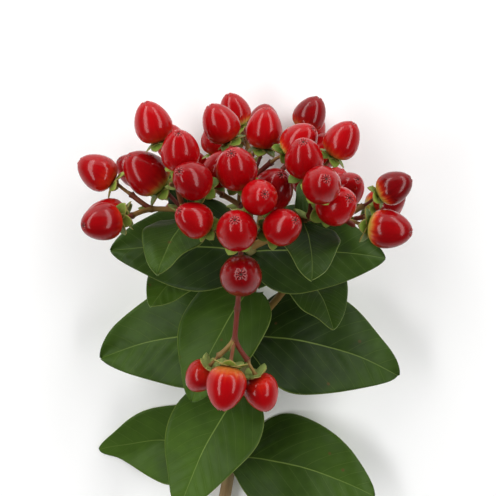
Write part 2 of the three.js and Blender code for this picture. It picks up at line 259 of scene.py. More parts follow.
for name, (right, up, width, height, away, power) in SOFTBOXES.items():
    box = bpy.data.lights.new(name, "AREA")
    box.shape = "RECTANGLE"
    box.size = width
    box.size_y = height
    box.energy = power
    across = IMAGE_RIGHT * math.sin(math.radians(right)) + TO_CAMERA * math.cos(math.radians(right))
    toward = across * math.cos(math.radians(up)) + IMAGE_UP * math.sin(math.radians(up))
    aimed(bpy.data.objects.new(name, box), head_middle + toward * away, head_middle)
print("softboxes:", len(SOFTBOXES))

# %% [markdown]
# The world round them is bright up to the horizon and dim above. A bright dome would lay a grey haze on the
# dark leaves, while a bright horizon gives the berries a clean edge and lets the floor run on into white.

# %% Light the horizon
HORIZON = {"light": 0.88, "height": 0.4}  # height as the sine of the angle up to which it fades
DOME_LIGHT = 0.1

world = bpy.data.worlds.new("studio")
world.use_nodes = True
bpy.context.scene.world = world
sky = Graph(world.node_tree)
direction = sky.add("ShaderNodeTexCoord").outputs["Generated"]
sine = Number(sky, sky.add("ShaderNodeSeparateXYZ", inputs={"Vector": direction}).outputs["Z"])
above = sky.math("MAXIMUM", sine, 0.0)
near_horizon = sky.math("MAXIMUM", 1 - above / HORIZON["height"], 0.0) ** 2
strength = DOME_LIGHT + (HORIZON["light"] - DOME_LIGHT) * near_horizon
background = sky.add("ShaderNodeBackground", inputs={"Strength": strength})
sky.add("ShaderNodeOutputWorld", inputs={"Surface": background.outputs[0]})
bpy.context.scene.view_settings.view_transform = "Standard"
print("light of the horizon and of the dome:", HORIZON["light"], DOME_LIGHT)

# %% [markdown]
# ## The floor
#
# The table is a plain pale disc, so that its white lifts the undersides of leaves and berries. It is stage
# and no part of the object.

# %% Lay the floor
FLOOR_RADIUS = 1.1
FLOOR_CORNERS = 96
FLOOR_DEPTH = 0.0002  # a hair below the leaves that lie on it


def floor_finish():
    finish = Finish("pale_floor")
    mottle = finish.noise(finish.place(), 6.0)
    colour = finish.mix(mottle, "#fafaf9", "#ffffff")
    return finish.shade(colour, 0.55 + 0.05 * mottle, mottle, 0.00005)


turns = np.linspace(0, 2 * np.pi, FLOOR_CORNERS, endpoint=False)
disc = bpy.data.meshes.new("floor")
rim = FLOOR_RADIUS * np.column_stack([np.cos(turns), np.sin(turns), 0 * turns])
disc.from_pydata(rim.tolist(), [], [range(FLOOR_CORNERS)])
disc.materials.append(floor_finish())
floor = bpy.data.objects.new("floor", disc)
floor.location.z = -FLOOR_DEPTH
bpy.context.scene.collection.objects.link(floor)
print("floor is", 2 * FLOOR_RADIUS, "m across")

# %% [markdown]
# ## The rule of the plant
#
# The plant isn't placed by hand: a few lengths and angles grow it, with seeded draws for what differs from
# one berry to the next. The CAD solids were grown by the same rule, so repeating it here puts every fine
# berry exactly inside its solid. It works in millimetres, with the cut end first, and is moved to the frame
# at the end.
#
# Everything starts with directions that lean and turn, and with a bell, the soft bump that swells a stem at
# its nodes.

# %% Directions and bells
X_AXIS = np.array([1.0, 0.0, 0.0])
Z_AXIS = np.array([0.0, 0.0, 1.0])


def unit(vector):
    return vector / np.linalg.norm(vector, axis=-1, keepdims=True)


def dot(a, b):
    return np.sum(a * b, axis=-1, keepdims=True)


def mixed(a, b, share):
    return unit(a + (b - a) * share)


def bell(offset, width):
    """1 where the offset is 0, and softly down to 0 past the width."""
    return np.exp(-((offset / width) ** 2))


def nearness(distance, places, width):
    """1 at each of some places along a path, and softly down to 0 between them."""
    return np.max([bell(distance - at, width) for at in places], axis=0)


def leaning(tip, outward, lean):
    """A direction that leans away from a tip towards an outward direction."""
    angle = np.radians(np.asarray(lean, float))[..., None]
    return tip * np.cos(angle) + outward * np.sin(angle)


def turned(vector, axis, degrees):
    """A vector turned about a unit axis."""
    angle = np.radians(np.asarray(degrees, float))[..., None]
    swung = vector * np.cos(angle) + np.cross(axis, vector) * np.sin(angle)
    return swung + axis * dot(axis, vector) * (1 - np.cos(angle))


print("a quarter turn of X about Z:", np.round(turned(X_AXIS, Z_AXIS, 90), 3))

# %% [markdown]
# A stem is a Bezier curve. Leaves grow at distances along it, but the curve's own parameter runs unevenly, so
# its length is summed up once and a distance is looked up in the sums. At each place the curve also gives a
# direction for every turn about it, towards which a leaf grows. The draws come from a short formula of whole
# numbers, so that another language gets the same ones and grows the same plant.

# %% Curves and draws


class Path:
    """A Bezier curve, read by the distance from its start."""

    def __init__(self, points, divisions=200):
        self.points = np.array(points, float)
        self.shares = np.linspace(0, 1, divisions + 1)
        steps = np.linalg.norm(np.diff(self.point(self.shares), axis=0), axis=1)
        self.distances = np.concatenate([[0], np.cumsum(steps)])
        self.length = self.distances[-1]

    def point(self, share):
        order = len(self.points) - 1
        share = np.asarray(share, float)[..., None]
        weights = [math.comb(order, k) * share**k * (1 - share) ** (order - k) for k in range(order + 1)]
        return sum(weight * point for weight, point in zip(weights, self.points))

    def at(self, distance, sideways):
        """The place at a distance: its point, the direction of growth, and directions away from it."""
        share = np.interp(distance, self.distances, self.shares)
        nudge = 1e-4
        tip = unit(self.point(np.minimum(share + nudge, 1)) - self.point(np.maximum(share - nudge, 0)))
        right = unit(sideways - tip * dot(tip, sideways))
        up = np.cross(right, tip)
        return SimpleNamespace(at=self.point(share), tip=tip, out=lambda turn: leaning(right, up, turn))


class Draws:
    """Repeatable draws between -1 and 1."""

    def __init__(self, seed):
        self.seed = seed

    def __call__(self):
        self.seed = (self.seed * 1664525 + 1013904223) % 2**32
        return self.seed / 2**31 - 1


draw = Draws(20)
print("length of a straight path of 3 by 4 mm:", round(Path([[0, 0, 0], [3, 4, 0]]).length, 3))

# %% [markdown]
# ### The stem and its shoots
#
# The stem rises from the table into the head. At its nodes, where leaves grow or have been stripped, it is
# a little swollen. Each pair of leaves stands at about a quarter turn to the one below.

# %% Grow the stem
STEM_PATH = Path([[-17, -148, 2.9], [-9, -97, 1.6], [3, -44, 4], [0, 10, 50]])
STEM_RADIUS = (2.5, 1.4)  # at the cut end and at the tip
SWELLING = 0.5
SWELLING_LENGTH = 2.4
SCAR_AT = 30  # a node stripped of its leaves
# distance from the cut end and turn about the stem; each leaf is its length, lean, swing, roll and recurve
LEAF_PAIRS = [
    (64, 12, [(52, 78, 0, 52, 30), (50, 84, 6, -48, 34)]),
    (92, 88, [(46, 108, 34, -8, 55), (36, 62, 10, 0, 30)]),
    (117, 4, [(54, 86, 0, 40, 34), (53, 92, 0, -46, 34)]),
    (139, 100, [(42, 104, 24, 0, 50), (25, 78, 4, 0, 20)]),
    (156, 5, [(42, 74, 5, 34, 22), (44, 78, -5, -30, 22)]),
]

stem_nodes = [SCAR_AT] + [at for at, _, _ in LEAF_PAIRS]


def stem_radius(distance):
    start, end = STEM_RADIUS
    swell = SWELLING * nearness(distance, stem_nodes, SWELLING_LENGTH)
    return start + (end - start) * distance / STEM_PATH.length + swell


print("stem:", round(STEM_PATH.length), "mm long, with nodes at", stem_nodes)

# %% [markdown]
# Side shoots leave the axils of the upper leaves and bend back towards the stem's tip. Each is a row of the
# table, where it is easy to compare with its neighbours, and some carry a pair of small leaves of their own.

# %% Grow the shoots
# name, leaf pair and leaf whose axil it grows in, swing, lean, length, bend, turn of the first fork, missing
# fruits, and its own pair of leaves
SHOOTS = [
    ("low_right", 2, 0, -25, 44, 42, 20, 0, [4], [(25, 70, 0, 0, 35), (30, 76, 0, 36, 35)]),
    ("low_left", 2, 1, 32, 44, 44, 20, 0, [], [(32, 74, 0, -40, 35), (25, 70, 0, 14, 35)]),
    ("front", 3, 0, 0, 44, 32, 8, 0, [], []),
    ("under", 3, 1, 0, 56, 34, 0, 90, [0], []),
    ("high_right", 4, 0, 14, 48, 28, 8, 0, [3], [(18, 60, -12, -10, 30), (27, 58, -12, 36, 24)]),
    ("high_left", 4, 1, -10, 50, 28, 6, 0, [6], [(28, 58, 12, -40, 24), (18, 60, 12, 24, 30)]),
]
SHOOT_RADIUS = 1.25
ABOVE_LEAF = 2.5  # how far above its leaf a shoot starts


def grow_shoot(name, pair, leaf, swing, lean, length, bend, fork, missing, leaves):
    at, turn, _ = LEAF_PAIRS[pair]
    axil = STEM_PATH.at(at + ABOVE_LEAF, X_AXIS)
    outward = axil.out(turn + 180 * leaf + swing)
    start = leaning(axil.tip, outward, lean)
    across = unit(np.cross(axil.tip, outward))
    knee = axil.at + start * length / 2
    path = Path([axil.at, knee, knee + turned(start, across, -bend) * length / 2])
    return SimpleNamespace(name=name, path=path, across=across, fork=fork, missing=missing, leaves=leaves)


shoots = [grow_shoot(*shoot) for shoot in SHOOTS]
print("lengths of the shoots:", [round(shoot.path.length) for shoot in shoots])

# %% [markdown]
# ### The leaves
#
# A leaf is ovate: broadest below its middle, with a blunt point. A product of two powers and a taper draws
# that outline in one line, where a curve through hand-set points would need six or more of them.

# %% The outline of a leaf
OUTLINE = {"base_power": 0.42, "tip_power": 0.62, "taper": 0.5, "peak": 0.411}
OUTLINE |= {"foot": 0.34, "foot_falls": 4, "least": 0.02}  # the base doesn't start from a point


def leaf_outline(s):
    """Half the width of a blade over its greatest half width: ovate, with a broad base and a blunt point."""
    rounded = s ** OUTLINE["base_power"] * np.maximum(1 - s, 0) ** OUTLINE["tip_power"]
    ovate = rounded * (1 - OUTLINE["taper"] * s) / OUTLINE["peak"]
    foot = OUTLINE["foot"] * (1 - OUTLINE["foot_falls"] * s)
    return np.maximum(np.maximum(ovate, foot), OUTLINE["least"])


print("greatest half width of the outline:", round(leaf_outline(np.linspace(0, 1, 101)).max(), 3))

# %% [markdown]
# A blade is a surface with two coordinates, s from its base to its tip and t from margin to margin. Its
# base clasps the stem, its midrib bends back, its halves fold up a little and wave along the margin, and a
# leaf near the table also rolls about its midrib to turn its face up.

# %% Grow the leaves
SEAT_GAP = 0.3  # between a leaf and the stem that carries it
LEAVES_AT = 28  # along a shoot, but at least so far below its fork:
LEAVES_BELOW_FORK = 3
LEAF = {"thickness": 0.7, "width": 0.72, "clasp": 0.75, "clasp_power": 6, "roll_within": 0.4}
LEAF |= {"fold": 0.14, "wave": 1.3, "waves": 1.7, "wave_grows": 6, "wave_fades": 5}


def grow_leaf(name, place, outward, radius, shape):
    length, lean, _, roll, recurve = shape
    midrib = leaning(place.tip, outward, lean)
    face = unit(place.tip - midrib * dot(place.tip, midrib))
    across = np.cross(face, midrib)
    seat_depth = radius + SEAT_GAP + LEAF["thickness"] / 2 * abs(math.cos(math.radians(lean)))
    seat = seat_depth / math.sin(math.radians(lean))
    bend = math.radians(recurve)
    half_width = length * LEAF["width"] / 2
    wave_starts = [draw(), draw()]

    def surface(s, t):
        y = t * half_width * leaf_outline(s)
        clasp = LEAF["clasp"] * t * t * (1 - s) ** LEAF["clasp_power"]
        x = seat * (1 - clasp) + length * np.sin(bend * s) / bend
        drop = length * (1 - np.cos(bend * s)) / bend
        start = np.where(t < 0, wave_starts[0], wave_starts[1])
        ripple = LEAF["wave"] * np.sin(2 * np.pi * (LEAF["waves"] * s + start)) * t * t
        ripple *= np.minimum(1, np.minimum(LEAF["wave_grows"] * s, LEAF["wave_fades"] * (1 - s)))
        rolled = roll * np.sin(np.pi / 2 * np.minimum(1, s / LEAF["roll_within"]))
        forward = leaning(midrib, face, -recurve * s)
        spread = turned(across, forward, rolled)
        normal = turned(leaning(face, midrib, recurve * s), forward, rolled)
        lift = LEAF["fold"] * abs(y) + ripple
        point = place.at + midrib * x[..., None] - face * drop[..., None]
        return point + spread * y[..., None] + normal * lift[..., None], normal, y

    return SimpleNamespace(name=name, length=length, midrib=midrib, surface=surface)


def grow_pair(name, place, turn, radius, shapes):
    pair = []
    for i, (letter, shape) in enumerate(zip("ab", shapes)):
        swing = shape[2]
        outward = place.out(turn + 180 * i + swing)
        pair.append(grow_leaf(f"{name}_{letter}", place, outward, radius, shape))
    return pair


leaves = []
for number, (at, turn, shapes) in enumerate(LEAF_PAIRS, 1):
    leaves += grow_pair(f"leaf_{number}", STEM_PATH.at(at, X_AXIS), turn, stem_radius(at), shapes)
for shoot in shoots:
    shoot.leaves_at = min(LEAVES_AT, shoot.path.length - LEAVES_BELOW_FORK)
    place = shoot.path.at(shoot.leaves_at, shoot.across)
    leaves += grow_pair(f"leaf_{shoot.name}", place, 0, SHOOT_RADIUS, shoot.leaves)
print("leaves:", len(leaves))

# %% [markdown]
# ### The heads of berries
#
# The head is a cyme: a stalk ends in a fruit, and from the foot of that stalk two arms leave in a fork,
# each of which ends in the same way. Two forks give up to seven berries on a shoot. One arm of the front
# head has outgrown the others and hangs forward over the leaves.

# %% Grow the cymes
BERRY_RADIUS = 6.3
BERRY_HEIGHT = 13.8
BELOW_CENTRE = 0.45  # height of the calyx below the centre of a fruit, over the height of the berry
FORK = 36
ARMS = [10.5, 8]
STALKS = [6, 5, 5]
SIZES = [1, 0.95, 0.86]
SIZE_SPREAD = 0.08
TURN_SPREAD = 8
STRAIGHTEN = 0.35
DROOP = {"cyme": "front", "fruit": 1, "fork": 120, "length": 23}
TERMINAL = {"fork": 112, "stalk": 6}


def grow_cyme(cyme, foot, tip, side, order=0, number=0):
    tipped = turned(tip, side, TURN_SPREAD * draw())
    grown = turned(tipped, np.cross(tip, side), TURN_SPREAD * draw())
    size = SIZES[order] * (1 + SIZE_SPREAD * draw())
    if number not in cyme.missing:
        height = BERRY_HEIGHT * size
        home = foot + grown * (STALKS[order] + height * BELOW_CENTRE)
        fruit = {"foot": foot, "home": home, "centre": home.copy(), "grown": grown, "lean": grown}
        fruit |= {"radius": BERRY_RADIUS * size, "height": height, "size": size, "turn": 180 * draw()}
        cyme.fruits.append(SimpleNamespace(**fruit))
    if order == len(ARMS):
        return
    across = unit(np.cross(side, tip))
    for way in (1, -1):
        next_number = 2 * number + (1 if way > 0 else 2)
        hangs = cyme.name == DROOP["cyme"] and next_number == DROOP["fruit"]
        arm = turned(tip, across, way * (DROOP["fork"] if hangs else FORK))
        end = foot + arm * (DROOP["length"] if hangs else ARMS[order])
        bare = order + 1 == len(ARMS) and next_number in cyme.missing
        cyme.arms.append(SimpleNamespace(foot=foot, end=end, tip=tip, order=order, way=way, bare=bare))
        next_tip = arm if hangs else mixed(arm, tip, STRAIGHTEN)
        grow_cyme(cyme, end, next_tip, across, order + 1, next_number)


cymes = []
for shoot in shoots:
    cyme = SimpleNamespace(name=shoot.name, shoot=shoot, missing=shoot.missing, fruits=[], arms=[])
    end = shoot.path.at(shoot.path.length, shoot.across)
    grow_cyme(cyme, end.at, end.tip, turned(np.cross(end.tip, shoot.across), end.tip, shoot.fork))
    cymes.append(cyme)
stem_end = STEM_PATH.at(STEM_PATH.length, X_AXIS)
terminal = SimpleNamespace(name="terminal", shoot=None, missing=[], fruits=[], arms=[])
terminal_foot = stem_end.at + stem_end.tip * TERMINAL["stalk"]
grow_cyme(terminal, terminal_foot, stem_end.tip, stem_end.out(TERMINAL["fork"]))
cymes.append(terminal)
fruits = [fruit for cyme in cymes for fruit in cyme.fruits]
print("berries:", {cyme.name: len(cyme.fruits) for cyme in cymes})

# %% [markdown]
# Grown so, berries would stand in each other and in the leaves. What they have to keep clear of, apart from
# other berries, is a list of points on leaves, stems and arms, with a radius for each.

# %% What a berry keeps clear of
KEEP_CLEAR = {"leaf": 1.3, "stem": 1.9, "arm": 1.4}
# Leaves and stems count as rows of points: these are both coordinates of a leaf, mm along the stem, and
# shares of a shoot and of an arm.
LEAF_POINTS = np.meshgrid(0.05 + 0.1 * np.arange(10), -0.9 + 0.3 * np.arange(7), indexing="ij")
STEM_POINTS = np.arange(60, STEM_PATH.length, 4)
SHOOT_POINTS = 0.1 + 0.08 * np.arange(11)
ARM_POINTS = np.array([0.3, 0.6, 0.9])


def obstacles():
    """What a fruit keeps clear of: points, and a radius for each."""
    s, t = [grid.ravel() for grid in LEAF_POINTS]
    groups = [(leaf.surface(s, t)[0], KEEP_CLEAR["leaf"]) for leaf in leaves]
    groups.append((STEM_PATH.at(STEM_POINTS, X_AXIS).at, KEEP_CLEAR["stem"]))
    for shoot in shoots:
        distances = shoot.path.length * SHOOT_POINTS
        groups.append((shoot.path.at(distances, shoot.across).at, KEEP_CLEAR["stem"]))
    for arm in [arm for cyme in cymes for arm in cyme.arms]:
        groups.append((arm.foot + (arm.end - arm.foot) * ARM_POINTS[:, None], KEEP_CLEAR["arm"]))
    points = np.concatenate([points for points, _ in groups])
    radii = np.concatenate([np.full(len(points), radius) for points, radius in groups])
    return points, radii


points, radii = obstacles()
print("points to keep clear of:", len(points))

# %% [markdown]
# On the plant berries push each other aside, which makes the head a dense, even cluster. Each fruit is three
# balls on its axis here, and for some rounds they push away from other fruits, from leaves and from stems,
# while a weak pull brings each one back to where it grew. A simulation of rigid bodies would settle them
# too, but the program that grew the solids couldn't repeat it, while it can repeat these few sums.

# %% Pack the berries
PACKING = {"rounds": 80, "homing": 0.04, "upright": 0.35, "reach": 28, "on_table": 0.92}
# In one round two fruits give way by a third of their overlap each, and a fruit by half of one with a leaf
# or a stem.
PACKING |= {"among_fruits": 3, "off_others": 2}
BALLS = [(-0.4, 0.92), (0, 1.03), (0.28, 0.72)]  # place over the height, and radius over its own


def balls(fruit):
    return [(fruit.centre + fruit.lean * z * fruit.height, r * fruit.radius) for z, r in BALLS]


def push_apart(a, b):
    if np.linalg.norm(a.centre - b.centre) > PACKING["reach"]:
        return
    for a_middle, a_radius in balls(a):
        for b_middle, b_radius in balls(b):
            apart = a_middle - b_middle
            distance = math.sqrt(apart @ apart)
            need = a_radius + b_radius - distance
            if need > 0:
                push = apart * (need / PACKING["among_fruits"] / distance)
                a.centre = a.centre + push
                b.centre = b.centre - push


def push_off(fruit):
    points, radii = fruit.near
    for middle, radius in balls(fruit):
        away = middle - points
        distance = np.linalg.norm(away, axis=1)
        need = np.maximum(radius + radii - distance, 0)
        pushes = away * (need / PACKING["off_others"] / distance)[:, None]
        fruit.centre = fruit.centre + pushes.sum(axis=0)
        fruit.centre[2] += max(0, radius * PACKING["on_table"] - middle[2])


for fruit in fruits:
    near = np.linalg.norm(points - fruit.home, axis=1) < PACKING["reach"]
    fruit.near = points[near], radii[near]
for _ in range(PACKING["rounds"]):
    for fruit in fruits:
        fruit.centre = fruit.centre + (fruit.home - fruit.centre) * PACKING["homing"]
        fruit.lean = mixed(unit(fruit.centre - fruit.foot), fruit.grown, PACKING["upright"])
    for i, fruit in enumerate(fruits):
        for other in fruits[i + 1 :]:
            push_apart(fruit, other)
        push_off(fruit)
moved = [np.linalg.norm(fruit.centre - fruit.home) for fruit in fruits]
print("berries moved by", round(np.mean(moved), 2), "mm on average, at most", round(max(moved), 2))

# %% [markdown]
# The rule's own origin isn't that of the frame. The stem gives the difference: its rings are laid along its
# path here, and the shift between their box and that of the CAD node takes everything else along.

# %% Find the place in the frame
CAD_STEM = {"sides": 8, "rings": 34}
MISFIT_ALLOWED = 0.01


def ring_turns(sides):
    return np.arange(sides) * 360 / sides


def rings_round(place, turns, radii):
    """Rings of points round the places of a path, with a radius for each place or each point."""
    outward = np.stack([place.out(turn) for turn in turns], axis=1)
    return place.at[:, None] + outward * radii[..., None]


ring_distances = np.linspace(0, 1, CAD_STEM["rings"] + 1) * STEM_PATH.length
ring_radii = stem_radius(ring_distances)[:, None]
rings = rings_round(STEM_PATH.at(ring_distances, X_AXIS), ring_turns(CAD_STEM["sides"]), ring_radii)
stem_low, stem_high = [np.array(corner) * 1000 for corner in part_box("main_stem")]
SHIFT = stem_low - rings.min(axis=(0, 1))
misfit = np.abs(stem_high - rings.max(axis=(0, 1)) - SHIFT).max()
if misfit > MISFIT_ALLOWED:
    raise ValueError(f"the stem's rule and its CAD node differ by {misfit:.3f} mm")


def to_frame(points):
    """Millimetres of the rule, in metres of the frame."""
    return (np.asarray(points) + SHIFT) / 1000


print("shift in mm:", np.round(SHIFT, 3), "misfit:", round(misfit, 5))

# %% [markdown]
# ## Making meshes
#
# Pieces whose form follows a formula are made directly: points in rows, quads between them, and numbers at
# the points for the finishes to read. Every mesh is closed, and its faces are turned outwards before it is
# used.

# %% Helpers for meshes


def row_faces(rows, columns, start=0, closed=False):
    """Quads between rows of points; a closed row also joins its last point to its first."""
    faces = []
    for i in range(rows - 1):
        for j in range(columns if closed else columns - 1):
            a = start + i * columns + j
            b = start + i * columns + (j + 1) % columns
            faces.append((a, b, b + columns, a + columns))
    return faces


def store(mesh, **values):
    """Keeps a number or a vector at every point of a mesh."""
    for name, value in values.items():
        value = np.asarray(value, float)
        kind, field = ("FLOAT_VECTOR", "vector") if value.ndim == 2 else ("FLOAT", "value")
        mesh.attributes.new(name, kind, "POINT").data.foreach_set(field, value.ravel())


def closed_mesh(name, points, faces):
    """A smooth mesh with its faces turned outwards."""
    mesh = bpy.data.meshes.new(name)
    mesh.from_pydata(np.asarray(points).tolist(), [], faces)
    solid = bmesh.new()
    solid.from_mesh(mesh)
    bmesh.ops.recalc_face_normals(solid, faces=solid.faces)
    solid.to_mesh(mesh)
    solid.free()
    mesh.polygons.foreach_set("use_smooth", [True] * len(mesh.polygons))
    return mesh


def shown(name, mesh):
    piece = bpy.data.objects.new(name, mesh)
    bpy.context.scene.collection.objects.link(piece)
    return piece


def dress(piece, slot, *nodes):
    """Ends the work on a piece: nothing of it is under the table, and it stands for its CAD nodes."""
    coordinates = np.empty(len(piece.data.vertices) * 3)
    piece.data.vertices.foreach_get("co", coordinates)
    coordinates[2::3] = np.maximum(coordinates[2::3], 0)
    piece.data.vertices.foreach_set("co", coordinates)
    piece.data.update()
    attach(piece, "root")
    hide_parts(*nodes)


print("faces of a closed row of 8 with one above it:", len(row_faces(2, 8, closed=True)))

# %% [markdown]
# ## The stem
#
# Young hypericum wood is tan-brown near the cut, green and reddish towards the berries, and darker at its
# nodes. Fine fibres run along it. They are noise that is drawn out along the stem, read from a vector that
# the mesh keeps at its points, because plain coordinates would run straight on where the stem bends. The cut
# shows pale wood round a still paler pith, inside a thin green skin.

# %% Bark


def bark_finish():
    finish = Finish("bark")
    grown = finish.attribute("grown")
    joint = finish.attribute("joint")
    cut = finish.attribute("cut")
    core = finish.attribute("core")
    grain = finish.attribute("grain", "Vector")
    fibres = finish.noise(grain, 2.2, 4.0)
    patches = finish.noise(finish.place(), 90.0, 2.0)
    old = finish.mix(fibres, "#6d4a2c", "#a98a5e")
    young = finish.mix(fibres, "#6f6a35", "#9c9a5c")
    colour = finish.mix(finish.step(grown + 0.5 * patches, 0.35, 1.05), old, young)
    colour = finish.mix(finish.step(patches, 0.5, 0.8) * 0.55, colour, "#7a3f28")
    colour = finish.mix(joint * (0.35 + 0.5 * fibres), colour, "#4b2c1b")
    wood = finish.mix(finish.step(core, 0.24, 0.4), "#d9cfa4", "#c7b985")
    wood = finish.mix(finish.step(core, 0.82, 0.97), wood, "#7d7a3e")
    colour = finish.mix(cut, colour, wood)
    return finish.shade(colour, 0.55 + 0.2 * fibres, fibres, 0.00012)


BARK = bark_finish()
print("finish:", BARK.name)

# %% [markdown]
# The wood is slender and finely ribbed, with two low ridges that run down from each pair of leaves. At a node
# it swells into a ring, and where leaves were stripped two raised scars are left. The stem is a stack of
# rings along its path: a tube from a curve would be quicker, but its radius couldn't change round the stem
# for ridges and scars.

# %% The ribbed stem
STEM = {"sides": 30, "step": 0.9, "ridge": 0.11}
RIBS = [(9, 0.035, 0.11), (14, 0.03, -0.2)]  # how many round the stem, height, and twist in radians a mm
NODE_RING = {"rise": 0.2, "width": 0.55, "dip": 0.6}  # it dips on two sides, towards where its leaves sat
NODE_GROOVE = {"depth": 0.12, "width": 0.5, "above": 1.3}
NODE_STAIN = 1.4
SCAR = {"rise": 0.4, "turn": 38, "length": 1.1, "above": 0.6}
CAP_SHARES = [0.97, 0.7, 0.35]  # rings across the cut, over the stem's radius
GRAIN = {"round": 2, "along": 0.07}  # far less along the stem than round it, which draws fibres out


def bark_relief(distance, turn):
    """What stands proud of the stem's plain radius, in mm."""
    relief = STEM["ridge"] * np.cos(np.radians(2 * turn + 90 * np.searchsorted(stem_nodes, distance)))
    for count, rise, twist in RIBS:
        relief = relief + rise * np.sin(np.radians(count * turn) + twist * distance)
    seam = distance - NODE_RING["dip"] * np.cos(np.radians(2 * turn))
    for at in stem_nodes:
        relief = relief + NODE_RING["rise"] * bell(seam - at, NODE_RING["width"])
        above = seam - at - NODE_GROOVE["above"]
        relief = relief - NODE_GROOVE["depth"] * bell(above, NODE_GROOVE["width"])
    side = (turn + 90) % 180 - 90
    pad = bell(distance - SCAR_AT - SCAR["above"], SCAR["length"]) * bell(side, SCAR["turn"])
    return relief + SCAR["rise"] * pad


def stem_mesh():
    sides = STEM["sides"]
    distances = np.linspace(0, STEM_PATH.length, round(STEM_PATH.length / STEM["step"]))
    turns = ring_turns(sides)
    place = STEM_PATH.at(distances, X_AXIS)
    radii = stem_radius(distances)[:, None] + bark_relief(distances[:, None], turns)
    walls = rings_round(place, turns, radii)
    rows = [walls[0] + (place.at[0] - walls[0]) * (1 - share) for share in CAP_SHARES[::-1]]
    rows += list(walls)
    rows += [walls[-1] + (place.at[-1] - walls[-1]) * (1 - share) for share in CAP_SHARES]
    faces = row_faces(len(rows), sides, closed=True)
    faces += [tuple(range(sides)), tuple(range((len(rows) - 1) * sides, len(rows) * sides))]
    mesh = closed_mesh("stem", to_frame(np.concatenate(rows)), faces)

    caps = len(CAP_SHARES)
    along = np.concatenate([np.zeros(caps), distances, np.full(caps, STEM_PATH.length)])
    core = np.concatenate([CAP_SHARES[::-1], np.ones(len(distances)), CAP_SHARES])
    stain = nearness(along, stem_nodes, NODE_STAIN)
    around = np.radians(turns)
    circle = GRAIN["round"] * np.column_stack([np.cos(around), np.sin(around)])
    grain = np.column_stack([np.tile(circle, (len(along), 1)), np.repeat(GRAIN["along"] * along, sides)])
    of_rings = {"grown": along / STEM_PATH.length, "joint": stain, "cut": core < 1, "core": core}
    store(mesh, grain=grain, **{name: np.repeat(value, sides) for name, value in of_rings.items()})
    mesh.materials.append(BARK)
    return mesh


stem = shown("stem", stem_mesh())
dress(stem, "bark", "main_stem")
print("stem:", len(stem.data.polygons), "faces")

# %% [markdown]
# ## The leaves
#
# A hypericum leaf is broad and pointed, satin dark green above and pale grey-green below. A thin light
# midrib runs its length, side veins leave it and bow towards the tip, and a light line follows the margin.
# The veins are a formula of the two coordinates of the blade, which the relief of the mesh and the finish
# both use, so the colour sits in the furrows.

# %% Where the veins run
VEINS = 8  # side veins on each half of a leaf
VEIN_SLOPE = (0.95, 1.5)  # how a side vein runs towards the tip as it leaves the midrib


def vein_phase(along, aside, veins):
    """Grows by one from each side vein to the next; aside is the distance from the midrib over the length."""
    first, second = VEIN_SLOPE
    return (along - first * aside - second * aside * aside) * veins


print("side veins passed on the way up the midrib:", vein_phase(1, 0, VEINS))

# %% [markdown]
# The finish is laid in coats: a mottled green, the side veins, the fine net of the underside, the midrib,
# the light margin, and a few brown specks. The same finish in lighter colours dresses the sepals and the
# bracts, which are small leaves too.

# %% Green finishes
WAX = {"Specular IOR Level": 0.15}
LEAF_GREEN = {
    "upper": ("#192a09", "#425e19"),
    "under": ("#5f7440", "#768a50"),
    "rib": "#7f9448",
    "margin": "#7c8d40",
    "blemish": "#5c3a1e",
    "veins": VEINS,
    "rough": 0.44,
}
SEPAL_GREEN = {
    "upper": ("#4f6b24", "#899c40"),
    "under": ("#7f934a", "#a7b46a"),
    "rib": "#b9bf7a",
    "margin": "#a5724a",
    "blemish": "#7a3f24",
    "veins": 3,
    "rough": 0.42,
}


def green_finish(name, upper, under, rib, margin, blemish, veins, rough):
    """Upper and under are pairs of colours, and the five attributes are what a blade's mesh keeps."""
    finish = Finish(name)
    along = finish.attribute("along")
    aside = abs(finish.attribute("aside"))
    rim = finish.attribute("rim")
    below = finish.attribute("under")
    tone = finish.attribute("tone")
    place = finish.place()

    phase = vein_phase(along, aside, veins) + 0.5 * finish.noise(place, 40.0)
    from_vein = abs(finish.math("FRACT", phase) - 0.5) * -1 + 0.5
    side_veins = finish.line(from_vein, 0.03) * finish.step(aside, 0.0, 0.02)
    midrib = finish.line(aside, 0.008 - 0.005 * along)
    net = 1 - finish.step(finish.cells(place, 900.0, "DISTANCE_TO_EDGE")["Distance"], 0.0, 0.12)
    cloud = finish.noise(place, 70.0, 3.0)
    grain = finish.noise(place, 700.0, 2.0)
    quilt = finish.noise(place, 240.0, 1.0)

    young = finish.step(along + 0.35 * cloud, 0.35, 1.1)
    top = finish.mix(0.55 * tone + 0.3 * young + 0.5 * (cloud - 0.5) + 0.3 * (quilt - 0.5), *upper)
    top = finish.mix(side_veins * 0.12, top, rib)
    bottom = finish.mix(cloud + 0.4 * (tone - 0.5), *under)
    bottom = finish.mix(side_veins * 0.4 + net * 0.22, bottom, upper[1])
    colour = finish.mix(below, top, bottom)
    colour = finish.mix(midrib * (0.75 - 0.5 * along), colour, rib)
    colour = finish.mix(finish.step(rim, 0.975, 1.0) * 0.5, colour, margin)
    colour = finish.specked(colour, blemish, 160.0, (0.78, 0.84), 0.6)

    height = 0.5 * cloud + quilt + 0.2 * grain - 0.3 * side_veins + below * (0.4 * net + side_veins)
    roughness = rough + 0.14 * cloud + 0.12 * below
    return finish.shade(colour, roughness, height, 0.00012, **WAX)


LEAF_FINISH = green_finish("leaf_green", **LEAF_GREEN)
SEPAL_FINISH = green_finish("sepal_green", **SEPAL_GREEN)
print("green finishes:", LEAF_FINISH.name, SEPAL_FINISH.name)

# %% [markdown]
# The blade's mesh has the same rows of points on both faces and a rim between them. A Solidify modifier
# would add a second face too, but one without a form of its own, such as a keel under the midrib. Where a
# leaf lies on the table, its points are pressed flat.

# %% Two faces and a rim
PRESS = {"softness": 1.1, "bite": 0.1}  # what lies on the table is pressed to it


